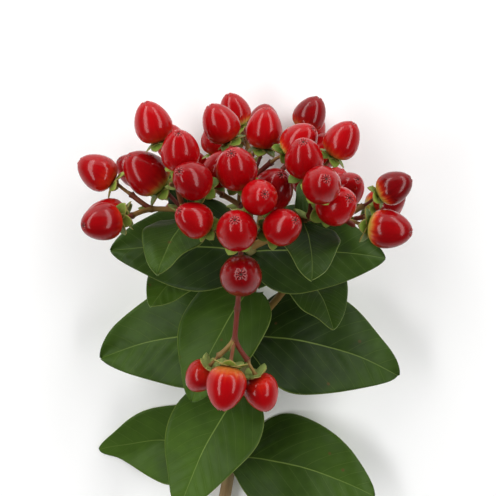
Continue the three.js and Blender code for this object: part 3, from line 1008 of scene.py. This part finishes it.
def pressed(z, floor):
    soft = np.logaddexp(0, (z - floor) / PRESS["softness"]) * PRESS["softness"]
    return floor + np.maximum(0, soft - PRESS["bite"])


def blade_faces(rows, columns):
    """Both faces of a blade and the rim between them."""
    under = rows * columns
    faces = row_faces(rows, columns) + row_faces(rows, columns, start=under)
    rim = list(range(columns)) + [(i + 1) * columns - 1 for i in range(1, rows)]
    rim += [(rows - 1) * columns + j for j in range(columns - 2, -1, -1)]
    rim += [i * columns for i in range(rows - 2, 0, -1)]
    faces += [(a, b, under + b, under + a) for a, b in zip(rim, rim[1:] + rim[:1])]
    return faces


print("a blade of 3 rows of 4 points has", len(blade_faces(3, 4)), "faces")

# %% [markdown]
# Rows lie closer at the base and the tip, and columns near the midrib, where the form turns fastest. On top
# of the CAD's surface come a furrow along the midrib with its keel below, the swelling between the veins, and
# a soft unevenness that differs from leaf to leaf.

# %% Grow the blades
BLADE = {"rows": 54, "columns": 31, "columns_crowd": 1.5, "thickness": 0.42}
BLADE |= {"rooted": 0.95, "root": 0.06}  # how far the base runs on into the stem, and what share does
RELIEF = {"furrow": 0.2, "keel": 0.5, "midrib": 0.6, "swell": 0.22, "uneven": 0.7}
RELIEF |= {"of_length": 50}  # the relief is that of a leaf so long, and is scaled for the others
RELIEF |= {"swell_from": 0.06}  # how far from the midrib, over the length, the swelling has its full height
HUMPS = {"along": 1.6, "skew": 0.7}
blade_draws = np.random.default_rng(11)


def leaf_mesh(leaf):
    rows, columns = BLADE["rows"], BLADE["columns"]
    even = np.linspace(0, 1, rows)
    s = 0.5 * even + 0.25 * (1 - np.cos(np.pi * even))
    t = np.linspace(-1, 1, columns)
    t = np.sign(t) * abs(t) ** BLADE["columns_crowd"]
    s, t = [grid.ravel() for grid in np.meshgrid(s, t, indexing="ij")]
    middle, normal, y = leaf.surface(s, t)
    middle = middle - leaf.midrib * (BLADE["rooted"] * np.maximum(1 - s / BLADE["root"], 0))[:, None]
    size = leaf.length / RELIEF["of_length"]
    aside = y / leaf.length

    start, slant, tone = blade_draws.random(3)
    swell = -np.cos(2 * np.pi * vein_phase(s, abs(aside), VEINS))
    swell = swell * np.minimum(1, abs(aside) / RELIEF["swell_from"]) * (1 - t**4)  # none at the margin
    uneven = np.sin(2 * np.pi * (HUMPS["along"] * s + start))
    uneven = uneven * np.cos(2 * np.pi * (slant * t + HUMPS["skew"] * s)) * np.minimum(1, 5 * s)
    lift = size * (RELIEF["swell"] * swell + RELIEF["uneven"] * uneven)
    at_midrib = bell(y, RELIEF["midrib"] * size) * np.sqrt(np.maximum(1 - s, 0)) * size
    both_sides = []
    for side, groove in ((1, RELIEF["furrow"]), (-1, RELIEF["keel"])):
        offset = lift - at_midrib * groove + side * BLADE["thickness"] / 2
        points = middle + normal * offset[:, None]
        is_upper = side * normal[:, 2] > 0
        points[:, 2] = pressed(points[:, 2], np.where(is_upper, BLADE["thickness"], 0))
        both_sides.append(points)
    mesh = closed_mesh(leaf.name, to_frame(np.concatenate(both_sides)), blade_faces(rows, columns))
    store(mesh, along=np.tile(s, 2), aside=np.tile(aside, 2), rim=np.tile(abs(t), 2))
    store(mesh, tone=np.full(2 * len(s), tone), under=np.repeat([0.0, 1.0], len(s)))
    mesh.materials.append(LEAF_FINISH)
    return mesh


for leaf in leaves:
    dress(shown(leaf.name.replace("leaf", "blade"), leaf_mesh(leaf)), "leaf", leaf.name)
print("blades:", len(leaves), "with", 2 * (BLADE["rows"] - 1) * (BLADE["columns"] - 1), "quads on both faces")

# %% [markdown]
# ## Two trees of Geometry Nodes
#
# Stalks and shoots are rods along lines, and berries, sepals and bracts are copies of one form at many
# places. Each kind is one Geometry Nodes tree. A tree has named inputs, reads what its mesh keeps at the
# points, and ends by shading smooth and setting the material. It is run once for each piece, and the result
# is taken out as a plain mesh.

# %% A tree with named inputs


class Growth(Graph):
    """A Geometry Nodes tree with one geometry in and one out, and named inputs."""

    def __init__(self, name, inputs):
        super().__init__(bpy.data.node_groups.new(name, "GeometryNodeTree"))
        interface = self.tree.interface
        interface.new_socket("Geometry", in_out="OUTPUT", socket_type="NodeSocketGeometry")
        interface.new_socket("Geometry", in_out="INPUT", socket_type="NodeSocketGeometry")
        self.identifiers = {}
        for key, kind in inputs.items():
            socket = interface.new_socket(key, in_out="INPUT", socket_type=kind)
            self.identifiers[key] = socket.identifier
        self.start = self.add("NodeGroupInput").outputs

    def kept(self, name, kind="FLOAT"):
        node = self.add("GeometryNodeInputNamedAttribute", {"data_type": kind}, {"Name": name})
        return node.outputs["Attribute"]

    def end(self, geometry):
        smooth = self.add("GeometryNodeSetShadeSmooth", inputs={"Geometry": geometry})
        inputs = {"Geometry": smooth.outputs[0], "Material": self.start["Material"]}
        painted = self.add("GeometryNodeSetMaterial", inputs=inputs)
        self.add("NodeGroupOutput", inputs={"Geometry": painted.outputs[0]})

    def grow(self, name, mesh, **values):
        """Runs the tree on a mesh and returns the result as a piece of its own."""
        seed = shown(name + "_seed", mesh)
        modifier = seed.modifiers.new(name, "NODES")
        modifier.node_group = self.tree
        for key, value in values.items():
            modifier[self.identifiers[key]] = value
        graph = bpy.context.evaluated_depsgraph_get()
        result = bpy.data.meshes.new_from_object(seed.evaluated_get(graph), depsgraph=graph)
        bpy.data.objects.remove(seed)
        return shown(name, result)


print("a tree of Geometry Nodes also has:", [name for name in vars(Growth) if not name.startswith("_")])

# %% [markdown]
# The first tree turns a mesh of bare edges into curves and sweeps a round profile along them, scaled by a
# thickness kept at the points. The second puts a copy of an object at every point, with the turn and the
# scale kept there, and makes the copies real, because instances are lost when the piece leaves Blender.

# %% Rods along lines and copies at points
rods = Growth("rods_along_lines", {"Sides": "NodeSocketInt", "Material": "NodeSocketMaterial"})
lines = rods.add("GeometryNodeMeshToCurve", inputs={"Mesh": rods.start["Geometry"]})
circle = {"Resolution": rods.start["Sides"], "Radius": 1.0}
profile = rods.add("GeometryNodeCurvePrimitiveCircle", inputs=circle)
sweep = {"Curve": lines.outputs[0], "Profile Curve": profile.outputs[0], "Scale": rods.kept("thickness")}
swept = rods.add("GeometryNodeCurveToMesh", inputs={**sweep, "Fill Caps": True})
rods.end(swept.outputs[0])

copies = Growth("copies_at_points", {"Form": "NodeSocketObject", "Material": "NodeSocketMaterial"})
form = copies.add("GeometryNodeObjectInfo", inputs={"Object": copies.start["Form"]})
points_only = copies.add("GeometryNodeMeshToPoints", inputs={"Mesh": copies.start["Geometry"]})
turn = copies.add("FunctionNodeEulerToRotation", inputs={0: copies.kept("turn", "FLOAT_VECTOR")})
placing = {"Points": points_only.outputs[0], "Instance": form.outputs["Geometry"]}
placing |= {"Rotation": turn.outputs[0], "Scale": copies.kept("scale", "FLOAT_VECTOR")}
placed = copies.add("GeometryNodeInstanceOnPoints", inputs=placing)
realized = copies.add("GeometryNodeRealizeInstances", inputs={"Geometry": placed.outputs[0]})
copies.end(realized.outputs[0])
print("inputs:", list(rods.identifiers), list(copies.identifiers))

# %% [markdown]
# ## Stalks and shoots
#
# Stalks are tan-green where they are shaded and red-brown where they saw the sun, and darker at every joint.
# The finish reads from the mesh how sunny a stalk is and where its joints are, so one finish serves them all
# and neighbours still differ.

# %% The skin of a stalk
DULL = {"Specular IOR Level": 0.25}


def stalk_finish():
    finish = Finish("stalk")
    place = finish.place()
    joint = finish.attribute("joint")
    sunny = finish.attribute("sunny")
    streaks = finish.noise(place, 260.0, 3.0)
    patches = finish.noise(place, 110.0, 2.0)
    shaded = finish.mix(streaks, "#7d6a34", "#a37a48")
    tanned = finish.mix(streaks, "#4a1712", "#7e3222")
    colour = finish.mix(finish.step(sunny + 0.9 * (patches - 0.5), 0.3, 0.75), shaded, tanned)
    colour = finish.mix(joint * 0.6, colour, "#57331d")
    return finish.shade(colour, 0.46 + 0.15 * streaks, streaks, 0.00008, **DULL)


STALK_FINISH = stalk_finish()
print("finish:", STALK_FINISH.name)

# %% [markdown]
# A line is a row of points with a thickness at each. All lines of a head go into one mesh of bare edges, and
# the tree makes one piece of them. The first line of a head is its side shoot, as thick as a match and
# swollen where its leaves sit, or the stem's own tip.

# %% Lay the shoots
JOINT = {"rise": 0.34, "length": 0.8}
SHOOT = {"rings": 44, "root": 1.06, "taper": 0.16, "sunny": 0.35}  # thickness over its radius
TIP = {"rings": 9, "rooted": 0.6, "taper": 0.2, "sunny": 0.3}


class Lines:
    """Bare edges that a round profile is swept along."""

    def __init__(self):
        self.points = []
        self.edges = []
        self.values = {"thickness": [], "joint": [], "sunny": []}

    def lay(self, points, radii, joints, sunny):
        first = len(self.points)
        self.points += list(to_frame(points))
        self.edges += [(first + i, first + i + 1) for i in range(len(points) - 1)]
        self.values["thickness"] += list(np.asarray(radii) / 1000)
        self.values["joint"] += list(joints)
        self.values["sunny"] += [sunny] * len(points)

    def mesh(self, name):
        mesh = bpy.data.meshes.new(name)
        mesh.from_pydata([tuple(point) for point in self.points], self.edges, [])
        store(mesh, **self.values)
        return mesh


def lay_shoot(lines, shoot):
    distances = np.linspace(0, shoot.path.length, SHOOT["rings"])
    places = [shoot.leaves_at, shoot.path.length] if shoot.leaves else [shoot.path.length]
    joints = nearness(distances, places, JOINT["length"])
    radii = SHOOT_RADIUS * (SHOOT["root"] - SHOOT["taper"] * distances / shoot.path.length)
    points = shoot.path.at(distances, shoot.across).at
    lines.lay(points, radii + JOINT["rise"] * joints, joints, SHOOT["sunny"])


def lay_tip(lines):
    """The stalk of the head at the stem's own tip, rooted a little way down in the stem."""
    share = np.linspace(0, 1, TIP["rings"])
    reach = TERMINAL["stalk"] * share - TIP["rooted"] * (1 - share)
    joints = nearness(TERMINAL["stalk"] * share, [TERMINAL["stalk"]], JOINT["length"])
    radii = STEM_RADIUS[1] * (1 - TIP["taper"] * share) + JOINT["rise"] * joints
    lines.lay(stem_end.at + stem_end.tip * reach[:, None], radii, joints, TIP["sunny"])


print("points on a shoot:", SHOOT["rings"], "and on the tip:", TIP["rings"])

# %% [markdown]
# The arms of the head are thinner, with a joint at both ends, and a fruit's own stalk widens into the seat of
# the sepals. Both bow a little, which the CAD's straight rods don't.

# %% Lay the arms and the fruit stalks
ARM = {"radius": 0.82, "least_rings": 8}
ARM |= {"bow": 0.22}  # share of the fork's angle that an arm makes up on its way
ARM |= {"stub": 1.4}  # length over which an arm withers to a point where its fruit is missing
LONG_ARM = {"from": 15, "joint": 0.55}  # a longer arm is straight, with one more joint on its way
STALK = {"radius": 0.6, "rings": 10, "joint": 0.25, "seat": 1.25, "seat_from": 0.7}
stalk_draws = np.random.default_rng(5)


def lay_arm(lines, arm):
    direction = arm.end - arm.foot
    length = np.linalg.norm(direction)
    is_long = length > LONG_ARM["from"]
    knee = arm.foot + mixed(unit(direction), arm.tip, 0 if is_long else ARM["bow"]) * length / 2
    share = np.linspace(0, 1, max(ARM["least_rings"], round(length)))
    places = [0, LONG_ARM["joint"] * length, length] if is_long else [0, length]
    joints = nearness(share * length, places, JOINT["length"])
    radii = ARM["radius"] + JOINT["rise"] * joints
    if arm.bare:
        radii = ARM["radius"] * np.sqrt(np.clip((1 - share) * length / ARM["stub"], 0.03, 1))
    lines.lay(Path([arm.foot, knee, arm.end]).point(share), radii, joints, stalk_draws.random())


def lay_fruit_stalk(lines, fruit):
    calyx = fruit.centre - fruit.lean * fruit.height * BELOW_CENTRE
    length = np.linalg.norm(calyx - fruit.foot)
    path = Path([fruit.foot, fruit.foot + fruit.grown * length / 3, calyx - fruit.lean * length / 3, calyx])
    share = np.linspace(0, 1, STALK["rings"])
    joint = nearness(share * length, [0], JOINT["length"])
    seat = np.clip((share - STALK["seat_from"]) / (1 - STALK["seat_from"]), 0, 1) ** 2
    radii = STALK["radius"] + STALK["joint"] * joint + (STALK["seat"] - STALK["radius"]) * seat
    lines.lay(path.point(share), radii * fruit.size, joint, stalk_draws.random())


print("arms:", sum(len(cyme.arms) for cyme in cymes), "and fruit stalks:", len(fruits))

# %% [markdown]
# Twelve sides are round enough for rods of one to three millimetres. The stalks of a head stand for its CAD
# node, together with the berries, sepals, styles and bracts that are still to come.

# %% Sweep the stalks
STALK_SIDES = 12
for cyme in cymes:
    lines = Lines()
    if cyme.shoot:
        lay_shoot(lines, cyme.shoot)
    else:
        lay_tip(lines)
    for arm in cyme.arms:
        lay_arm(lines, arm)
    for fruit in cyme.fruits:
        lay_fruit_stalk(lines, fruit)
    name = f"stalks_{cyme.name}"
    piece = rods.grow(name, lines.mesh(name), Sides=STALK_SIDES, Material=STALK_FINISH)
    dress(piece, "bark", f"spray_{cyme.name}")
    print(name, len(piece.data.polygons), "faces")

# %% [markdown]
# ## The berries
#
# The fruit is a fleshy capsule: broadest just below its middle, with a blunt base and a domed tip. Three
# shallow grooves run down it, and at the tip a ring of small pleats closes round a pit where the styles
# stood. One berry is modelled at unit size and copied to its places, where its own radius and height scale
# it.
#
# It keeps three things for its finish: its height, a direction round it, and that direction drawn out along
# the berry, which makes streaks out of plain noise.

# %% One berry
BERRY = {"sides": 36, "half_height": 0.505, "belly": 0.23, "dome": 0.86}
BERRY |= {"grooves": 3, "groove": 0.02, "groove_power": 14}  # the higher the power, the narrower the groove
CROWN = {"above": 0.8, "at": 0.17, "width": 0.065, "pleats": 9, "pleat": 0.02, "uneven": 0.6}
CROWN |= {"pit": 0.045, "pit_width": 0.08}
# shares of the half turn from the base to the tip, closest at the crown
BERRY_ROWS = np.concatenate([np.linspace(0.03, 0.86, 17), [0.89, 0.91, 0.925, 0.94, 0.955, 0.97, 0.985]])


def berry_mesh():
    sides = BERRY["sides"]
    around = np.arange(sides) * 2 * np.pi / sides
    angle = np.pi * BERRY_ROWS[:, None]
    radius = np.sin(angle) ** BERRY["dome"] * (1 + BERRY["belly"] * np.cos(angle))
    radius = radius / radius.max()
    rise = BERRY["half_height"] - BERRY["half_height"] * np.cos(angle)
    groove = abs(np.cos(around * BERRY["grooves"] / 2)) ** BERRY["groove_power"]
    radius = radius * (1 - BERRY["groove"] * groove * np.sin(angle))
    at_tip = rise > CROWN["above"]
    crown = bell(radius - CROWN["at"], CROWN["width"]) * at_tip
    pleat = np.cos(CROWN["pleats"] * around + CROWN["uneven"] * np.sin(2 * around)) * crown
    pit = bell(radius, CROWN["pit_width"]) * at_tip
    rise = rise + CROWN["pleat"] * pleat - CROWN["pit"] * pit
    rows = np.stack([radius * np.cos(around), radius * np.sin(around), rise + 0 * radius], axis=-1)
    poles = [[0, 0, 0], [0, 0, rise[-1].mean() - 0.01]]
    points = np.concatenate([rows.reshape(-1, 3), poles])
    faces = row_faces(len(rows), sides, closed=True)
    base, tip = len(points) - 2, len(points) - 1
    last = (len(rows) - 1) * sides
    for j in range(sides):
        faces.append((base, (j + 1) % sides, j))
        faces.append((tip, last + j, last + (j + 1) % sides))
    mesh = closed_mesh("berry", points, faces)
    flat = np.maximum(np.linalg.norm(points[:, :2], axis=1, keepdims=True), 1e-6)
    height = np.append(np.repeat(0.5 - 0.5 * np.cos(angle[:, 0]), sides), [0, 1])
    outward = points[:, :2] / flat
    store(mesh, rise=height, skin=points, pleat=np.append(pleat, [0, 0]), pit=np.append(pit, [0, 1]))
    store(mesh, streak=np.column_stack([outward * np.minimum(1, flat * 4), 0.12 * height]))
    return mesh


berry_form = shown("berry_form", berry_mesh())
print("berry:", len(berry_form.data.polygons), "faces")

# %% [markdown]
# A ripe berry is a deep, even red with a waxy gloss. Berries differ in how dark they are, and the ones that
# ripen last keep a yellow-green base that runs into the red in streaks. At the tip the crests of the pleats
# carry a painted highlight and the grooves between them painted shade. A little light enters the flesh, which
# a small subsurface weight gives.

# %% Berry skin
GLOSS = {"Coat Weight": 0.4, "Coat Roughness": 0.12, "Specular IOR Level": 0.05}
FLESH = {"Subsurface Weight": 0.08, "Subsurface Scale": 0.002}
RIPE = ("#a0040a", "#560205")
BLUSH = "#cc2f18"
UNRIPE_BASE = "#c4bd55"
DOTS = "#e8503c"
SPECKS = "#5c2012"
# a painted highlight for the crests of the pleats, and painted shade for the grooves between them
PLEAT_HIGHLIGHT_AND_SHADE = ("#e0908c", "#4a070c")  # on their crests and between them
PIT = "#2c0d08"


def berry_finish():
    finish = Finish("berry_red")
    rise = finish.attribute("rise")
    tone = finish.attribute("tone")
    unripe = finish.attribute("unripe")
    skin = finish.attribute("skin", "Vector")
    streaks = finish.noise(finish.attribute("streak", "Vector"), 5.5, 3.0)
    clouds = finish.noise(finish.place(), 220.0, 2.0)
    dots = finish.cells(skin, 9.0)["Distance"]
    pleat = finish.attribute("pleat")
    pit = finish.attribute("pit")

    level = rise + 0.22 * (streaks - 0.5)
    blush = (1 - finish.step(level, 0.02, 0.42)) * (0.38 + unripe)
    green = (1 - finish.step(level, 0.0, 0.26)) * finish.step(unripe, 0.25, 0.8)
    colour = finish.mix(tone + 0.4 * (clouds - 0.5) + 0.25 * (streaks - 0.5), *RIPE)
    colour = finish.mix(blush, colour, BLUSH)
    colour = finish.mix(green, colour, UNRIPE_BASE)
    colour = finish.mix((1 - finish.step(dots, 0.04, 0.1)) * 0.25, colour, DOTS)
    colour = finish.specked(colour, SPECKS, 330.0, (0.8, 0.84), 0.7)
    # painted highlight on the crests of the pleats, then painted shade in the grooves between them
    colour = finish.mix(finish.step(pleat, 0.3, 0.95) * 0.55, colour, PLEAT_HIGHLIGHT_AND_SHADE[0])
    colour = finish.mix(finish.step(pleat * -1, 0.0, 0.5) * 0.9, colour, PLEAT_HIGHLIGHT_AND_SHADE[1])
    colour = finish.mix(finish.step(pit, 0.25, 0.7) * 0.95, colour, PIT)
    relief = 0.5 * streaks + 0.2 * clouds
    return finish.shade(colour, 0.24 + 0.1 * clouds + 0.2 * pit, relief, 0.00015, **FLESH, **GLOSS)


BERRY_FINISH = berry_finish()
print("finish:", BERRY_FINISH.name)

# %% [markdown]
# The points that the copies grow at hold what differs from one to the next: its turn, its scale, and the
# numbers that its finish reads. The same helper serves the berries, the sepals, the styles and the bracts.

# %% Hang the berries
DARKEST = 0.8
FEW_DARK = 1.4  # the higher this power, the fewer berries come near the darkest
UNRIPE = [0.0, 0.0, 0.1, 0.25, 0.45, 0.9]  # how green the base of a berry is; most have little of it
fruit_draws = np.random.default_rng(8)
for fruit in fruits:
    fruit.tone = fruit_draws.random() ** FEW_DARK * DARKEST
    fruit.unripe = fruit_draws.choice(UNRIPE)
    fruit.calyx = fruit.centre - fruit.lean * fruit.height * BELOW_CENTRE
    upright = Vector((0, 0, 1)).rotation_difference(Vector(fruit.lean))
    fruit.rotation = upright @ Quaternion((0, 0, 1), math.radians(fruit.turn))


def plant(name, cyme, form, finish, slot, points, rotations, scales, **values):
    """One piece of a head: copies of a form, each with its point and scale in mm, its turn, and more."""
    seeds = bpy.data.meshes.new(name)
    seeds.from_pydata([tuple(point) for point in to_frame(points)], [], [])
    turns = [tuple(rotation.to_euler()) for rotation in rotations]
    store(seeds, turn=turns, scale=np.asarray(scales) / 1000, **values)
    piece = copies.grow(f"{name}_{cyme.name}", seeds, Form=form, Material=finish)
    dress(piece, slot, f"spray_{cyme.name}")
    return piece


for cyme in cymes:
    grown = cyme.fruits
    turns = [fruit.rotation for fruit in grown]
    scales = [(fruit.radius, fruit.radius, fruit.height) for fruit in grown]
    kept = {"tone": [fruit.tone for fruit in grown], "unripe": [fruit.unripe for fruit in grown]}
    calyxes = [fruit.calyx for fruit in grown]
    piece = plant("berries", cyme, berry_form, BERRY_FINISH, "berry", calyxes, turns, scales, **kept)
    print(piece.name, len(piece.data.polygons), "faces")
bpy.data.objects.remove(berry_form)

# %% [markdown]
# ## Sepals, styles and bracts
#
# Sepals and bracts are small leaves, and one rule makes both: a blade that runs along X, bends down and is a
# little cupped. They are a few millimetres long, so a few rows of points are enough, and their veins are
# left to the finish.

# %% Small blades
SMALL = {"foot": 0.5, "foot_falls": 3, "least": 0.03, "cup": 0.05}


def small_blade(length, half_width, bend, lift, thickness, rows, columns, tip_power):
    """A blade along +X: its points on both faces, and what its finish reads."""
    s, t = np.meshgrid(np.linspace(0, 1, rows), np.linspace(-1, 1, columns), indexing="ij")
    s, t = s.ravel(), t.ravel()
    outline = np.sqrt(s) * np.maximum(1 - s, 0) ** tip_power
    foot = SMALL["foot"] * (1 - SMALL["foot_falls"] * s)
    outline = np.maximum(outline / outline.max(), np.maximum(foot, SMALL["least"]))
    x = s * length
    y = t * half_width * outline
    z = lift - bend * x * x + SMALL["cup"] * y * y
    points = [np.column_stack([x, y, z + side * thickness / 2]) for side in (1, -1)]
    return np.concatenate(points), s, y / length, abs(t)


def blades_mesh(name, blades, rows, columns):
    """Joins small blades, each turned about Z by its own angle, into one form."""
    points, faces, kept = [], [], {"along": [], "aside": [], "rim": [], "under": []}
    for degrees, (corners, s, aside, rim) in blades:
        first = sum(len(part) for part in points)
        faces += [tuple(first + i for i in face) for face in blade_faces(rows, columns)]
        points.append(turned(corners, Z_AXIS, degrees))
        for name_kept, values in (("along", s), ("aside", aside), ("rim", rim)):
            kept[name_kept] += list(np.tile(values, 2))
        kept["under"] += [0.0] * len(s) + [1.0] * len(s)
    mesh = closed_mesh(name, np.concatenate(points), faces)
    store(mesh, **kept)
    return mesh


print("a small blade of 3 by 5 points has", len(small_blade(1, 0.3, 0, 0, 0.1, 3, 5, 0.6)[0]), "points")

# %% [markdown]
# Five sepals spread under every berry. They are broad and blunt, overlap at the base and bend back towards
# the stalk, and no two are the same length.

# %% One calyx
SEPAL = {"count": 5, "length": 5.8, "half_width": 2.45, "thickness": 0.36, "rows": 9, "columns": 7}
SEPAL_LENGTHS = [1.0, 0.9, 1.04, 0.86, 0.96]
SEPAL_BENDS = [0.045, 0.07, 0.03, 0.08, 0.055]
SEPAL_LIFTS = [-0.3, -0.12, -0.36, -0.06, -0.24]  # they overlap, so each starts at its own height
SEPAL_TIP = 0.6  # the power of the outline at the tip; the higher, the more pointed


def calyx_mesh():
    rows, columns = SEPAL["rows"], SEPAL["columns"]
    blades = []
    for i, (share, bend, lift) in enumerate(zip(SEPAL_LENGTHS, SEPAL_BENDS, SEPAL_LIFTS)):
        size = SEPAL["length"] * share, SEPAL["half_width"] * (0.9 + 0.1 * share)
        blade = small_blade(*size, bend, lift, SEPAL["thickness"], rows, columns, SEPAL_TIP)
        blades.append((360 / SEPAL["count"] * i, blade))
    return blades_mesh("calyx", blades, rows, columns)


calyx_form = shown("calyx_form", calyx_mesh())
print("calyx:", len(calyx_form.data.polygons), "faces")

# %% [markdown]
# Out of the pit at the berry's tip stand the dry ends of three styles, which part as they rise. They are a
# quarter of a millimetre across, so five corners are round enough.

# %% One set of styles
STYLE = {"count": 3, "rows": 5, "sides": 5, "length": 0.9, "radius": 0.12, "taper": 0.6}
STYLE |= {"from_axis": 0.15, "spread": 0.5, "droop": 0.45}


def styles_mesh():
    rows, sides = STYLE["rows"], STYLE["sides"]
    corners = np.arange(sides) * 2 * np.pi / sides
    ring = np.column_stack([np.cos(corners), np.sin(corners), np.zeros(sides)])
    points, faces = [], []
    for i in range(STYLE["count"]):
        around = 2 * np.pi * i / STYLE["count"]
        outward = np.array([math.cos(around), math.sin(around), 0])
        first = len(points)
        for share in np.linspace(0, 1, rows):
            centre = outward * (STYLE["from_axis"] + STYLE["spread"] * share**2)
            centre[2] = STYLE["length"] * (share - STYLE["droop"] * share**2)
            points += list(centre + STYLE["radius"] * (1 - STYLE["taper"] * share) * ring)
        faces += row_faces(rows, sides, start=first, closed=True)
        last = first + (rows - 1) * sides
        faces += [tuple(range(first, first + sides)), tuple(range(last, last + sides))]
    return closed_mesh("styles", points, faces)


def dry_finish():
    finish = Finish("dry_style")
    mottle = finish.noise(finish.place(), 900.0, 2.0)
    return finish.shade(finish.mix(mottle, "#3a1710", "#8a5236"), 0.6 + 0.2 * mottle, mottle, 0.00004)


DRY_FINISH = dry_finish()
styles_form = shown("styles_form", styles_mesh())
print("styles:", len(styles_form.data.polygons), "faces")

# %% [markdown]
# The pit at the tip lies a little below the full height of the berry, so the styles are planted there. At
# every fork sits a pair of small pointed bracts: one stands at the foot of each arm and leans away from it.

# %% Plant them
BRACT = {"length": 6.0, "half_width": 1.3, "thickness": 0.4, "rows": 8, "columns": 5}
BRACT |= {"lean": 62, "bend": 0.12, "tip_power": 0.85}
BRACT_SIZES = [1.0, 0.72]  # at the first fork and at the second
STYLES_AT = 0.955  # share of the berry's height


def bract_rotation(arm):
    direction = unit(arm.end - arm.foot)
    side = unit(np.cross(direction, X_AXIS))
    out = turned(direction, side, arm.way * BRACT["lean"])
    face = np.cross(out, side)
    return Matrix(np.column_stack([out, side, face]).tolist()).to_quaternion()


grid = BRACT["rows"], BRACT["columns"]
shares = [BRACT[name] / BRACT["length"] for name in ("half_width", "thickness")]
bract_blade = small_blade(1, shares[0], BRACT["bend"], 0, shares[1], *grid, BRACT["tip_power"])
bract_form = shown("bract_form", blades_mesh("bract", [(0, bract_blade)], *grid))
small_draws = np.random.default_rng(3)
for cyme in cymes:
    turns = [fruit.rotation for fruit in cyme.fruits]
    sizes = [[fruit.size] * 3 for fruit in cyme.fruits]
    tones = small_draws.random(len(sizes))
    calyxes = [fruit.calyx for fruit in cyme.fruits]
    plant("sepals", cyme, calyx_form, SEPAL_FINISH, "leaf", calyxes, turns, sizes, tone=tones)
    pits = [fruit.calyx + fruit.lean * fruit.height * STYLES_AT for fruit in cyme.fruits]
    plant("styles", cyme, styles_form, DRY_FINISH, "bark", pits, turns, sizes, tone=tones)
    feet = [arm.foot for arm in cyme.arms]
    turns = [bract_rotation(arm) for arm in cyme.arms]
    sizes = [[BRACT["length"] * BRACT_SIZES[arm.order]] * 3 for arm in cyme.arms]
    tones = small_draws.random(len(feet))
    plant("bracts", cyme, bract_form, SEPAL_FINISH, "leaf", feet, turns, sizes, tone=tones)
for form in (calyx_form, styles_form, bract_form):
    bpy.data.objects.remove(form)
print("bracts:", sum(len(cyme.arms) for cyme in cymes))

# %% [markdown] ## Finish
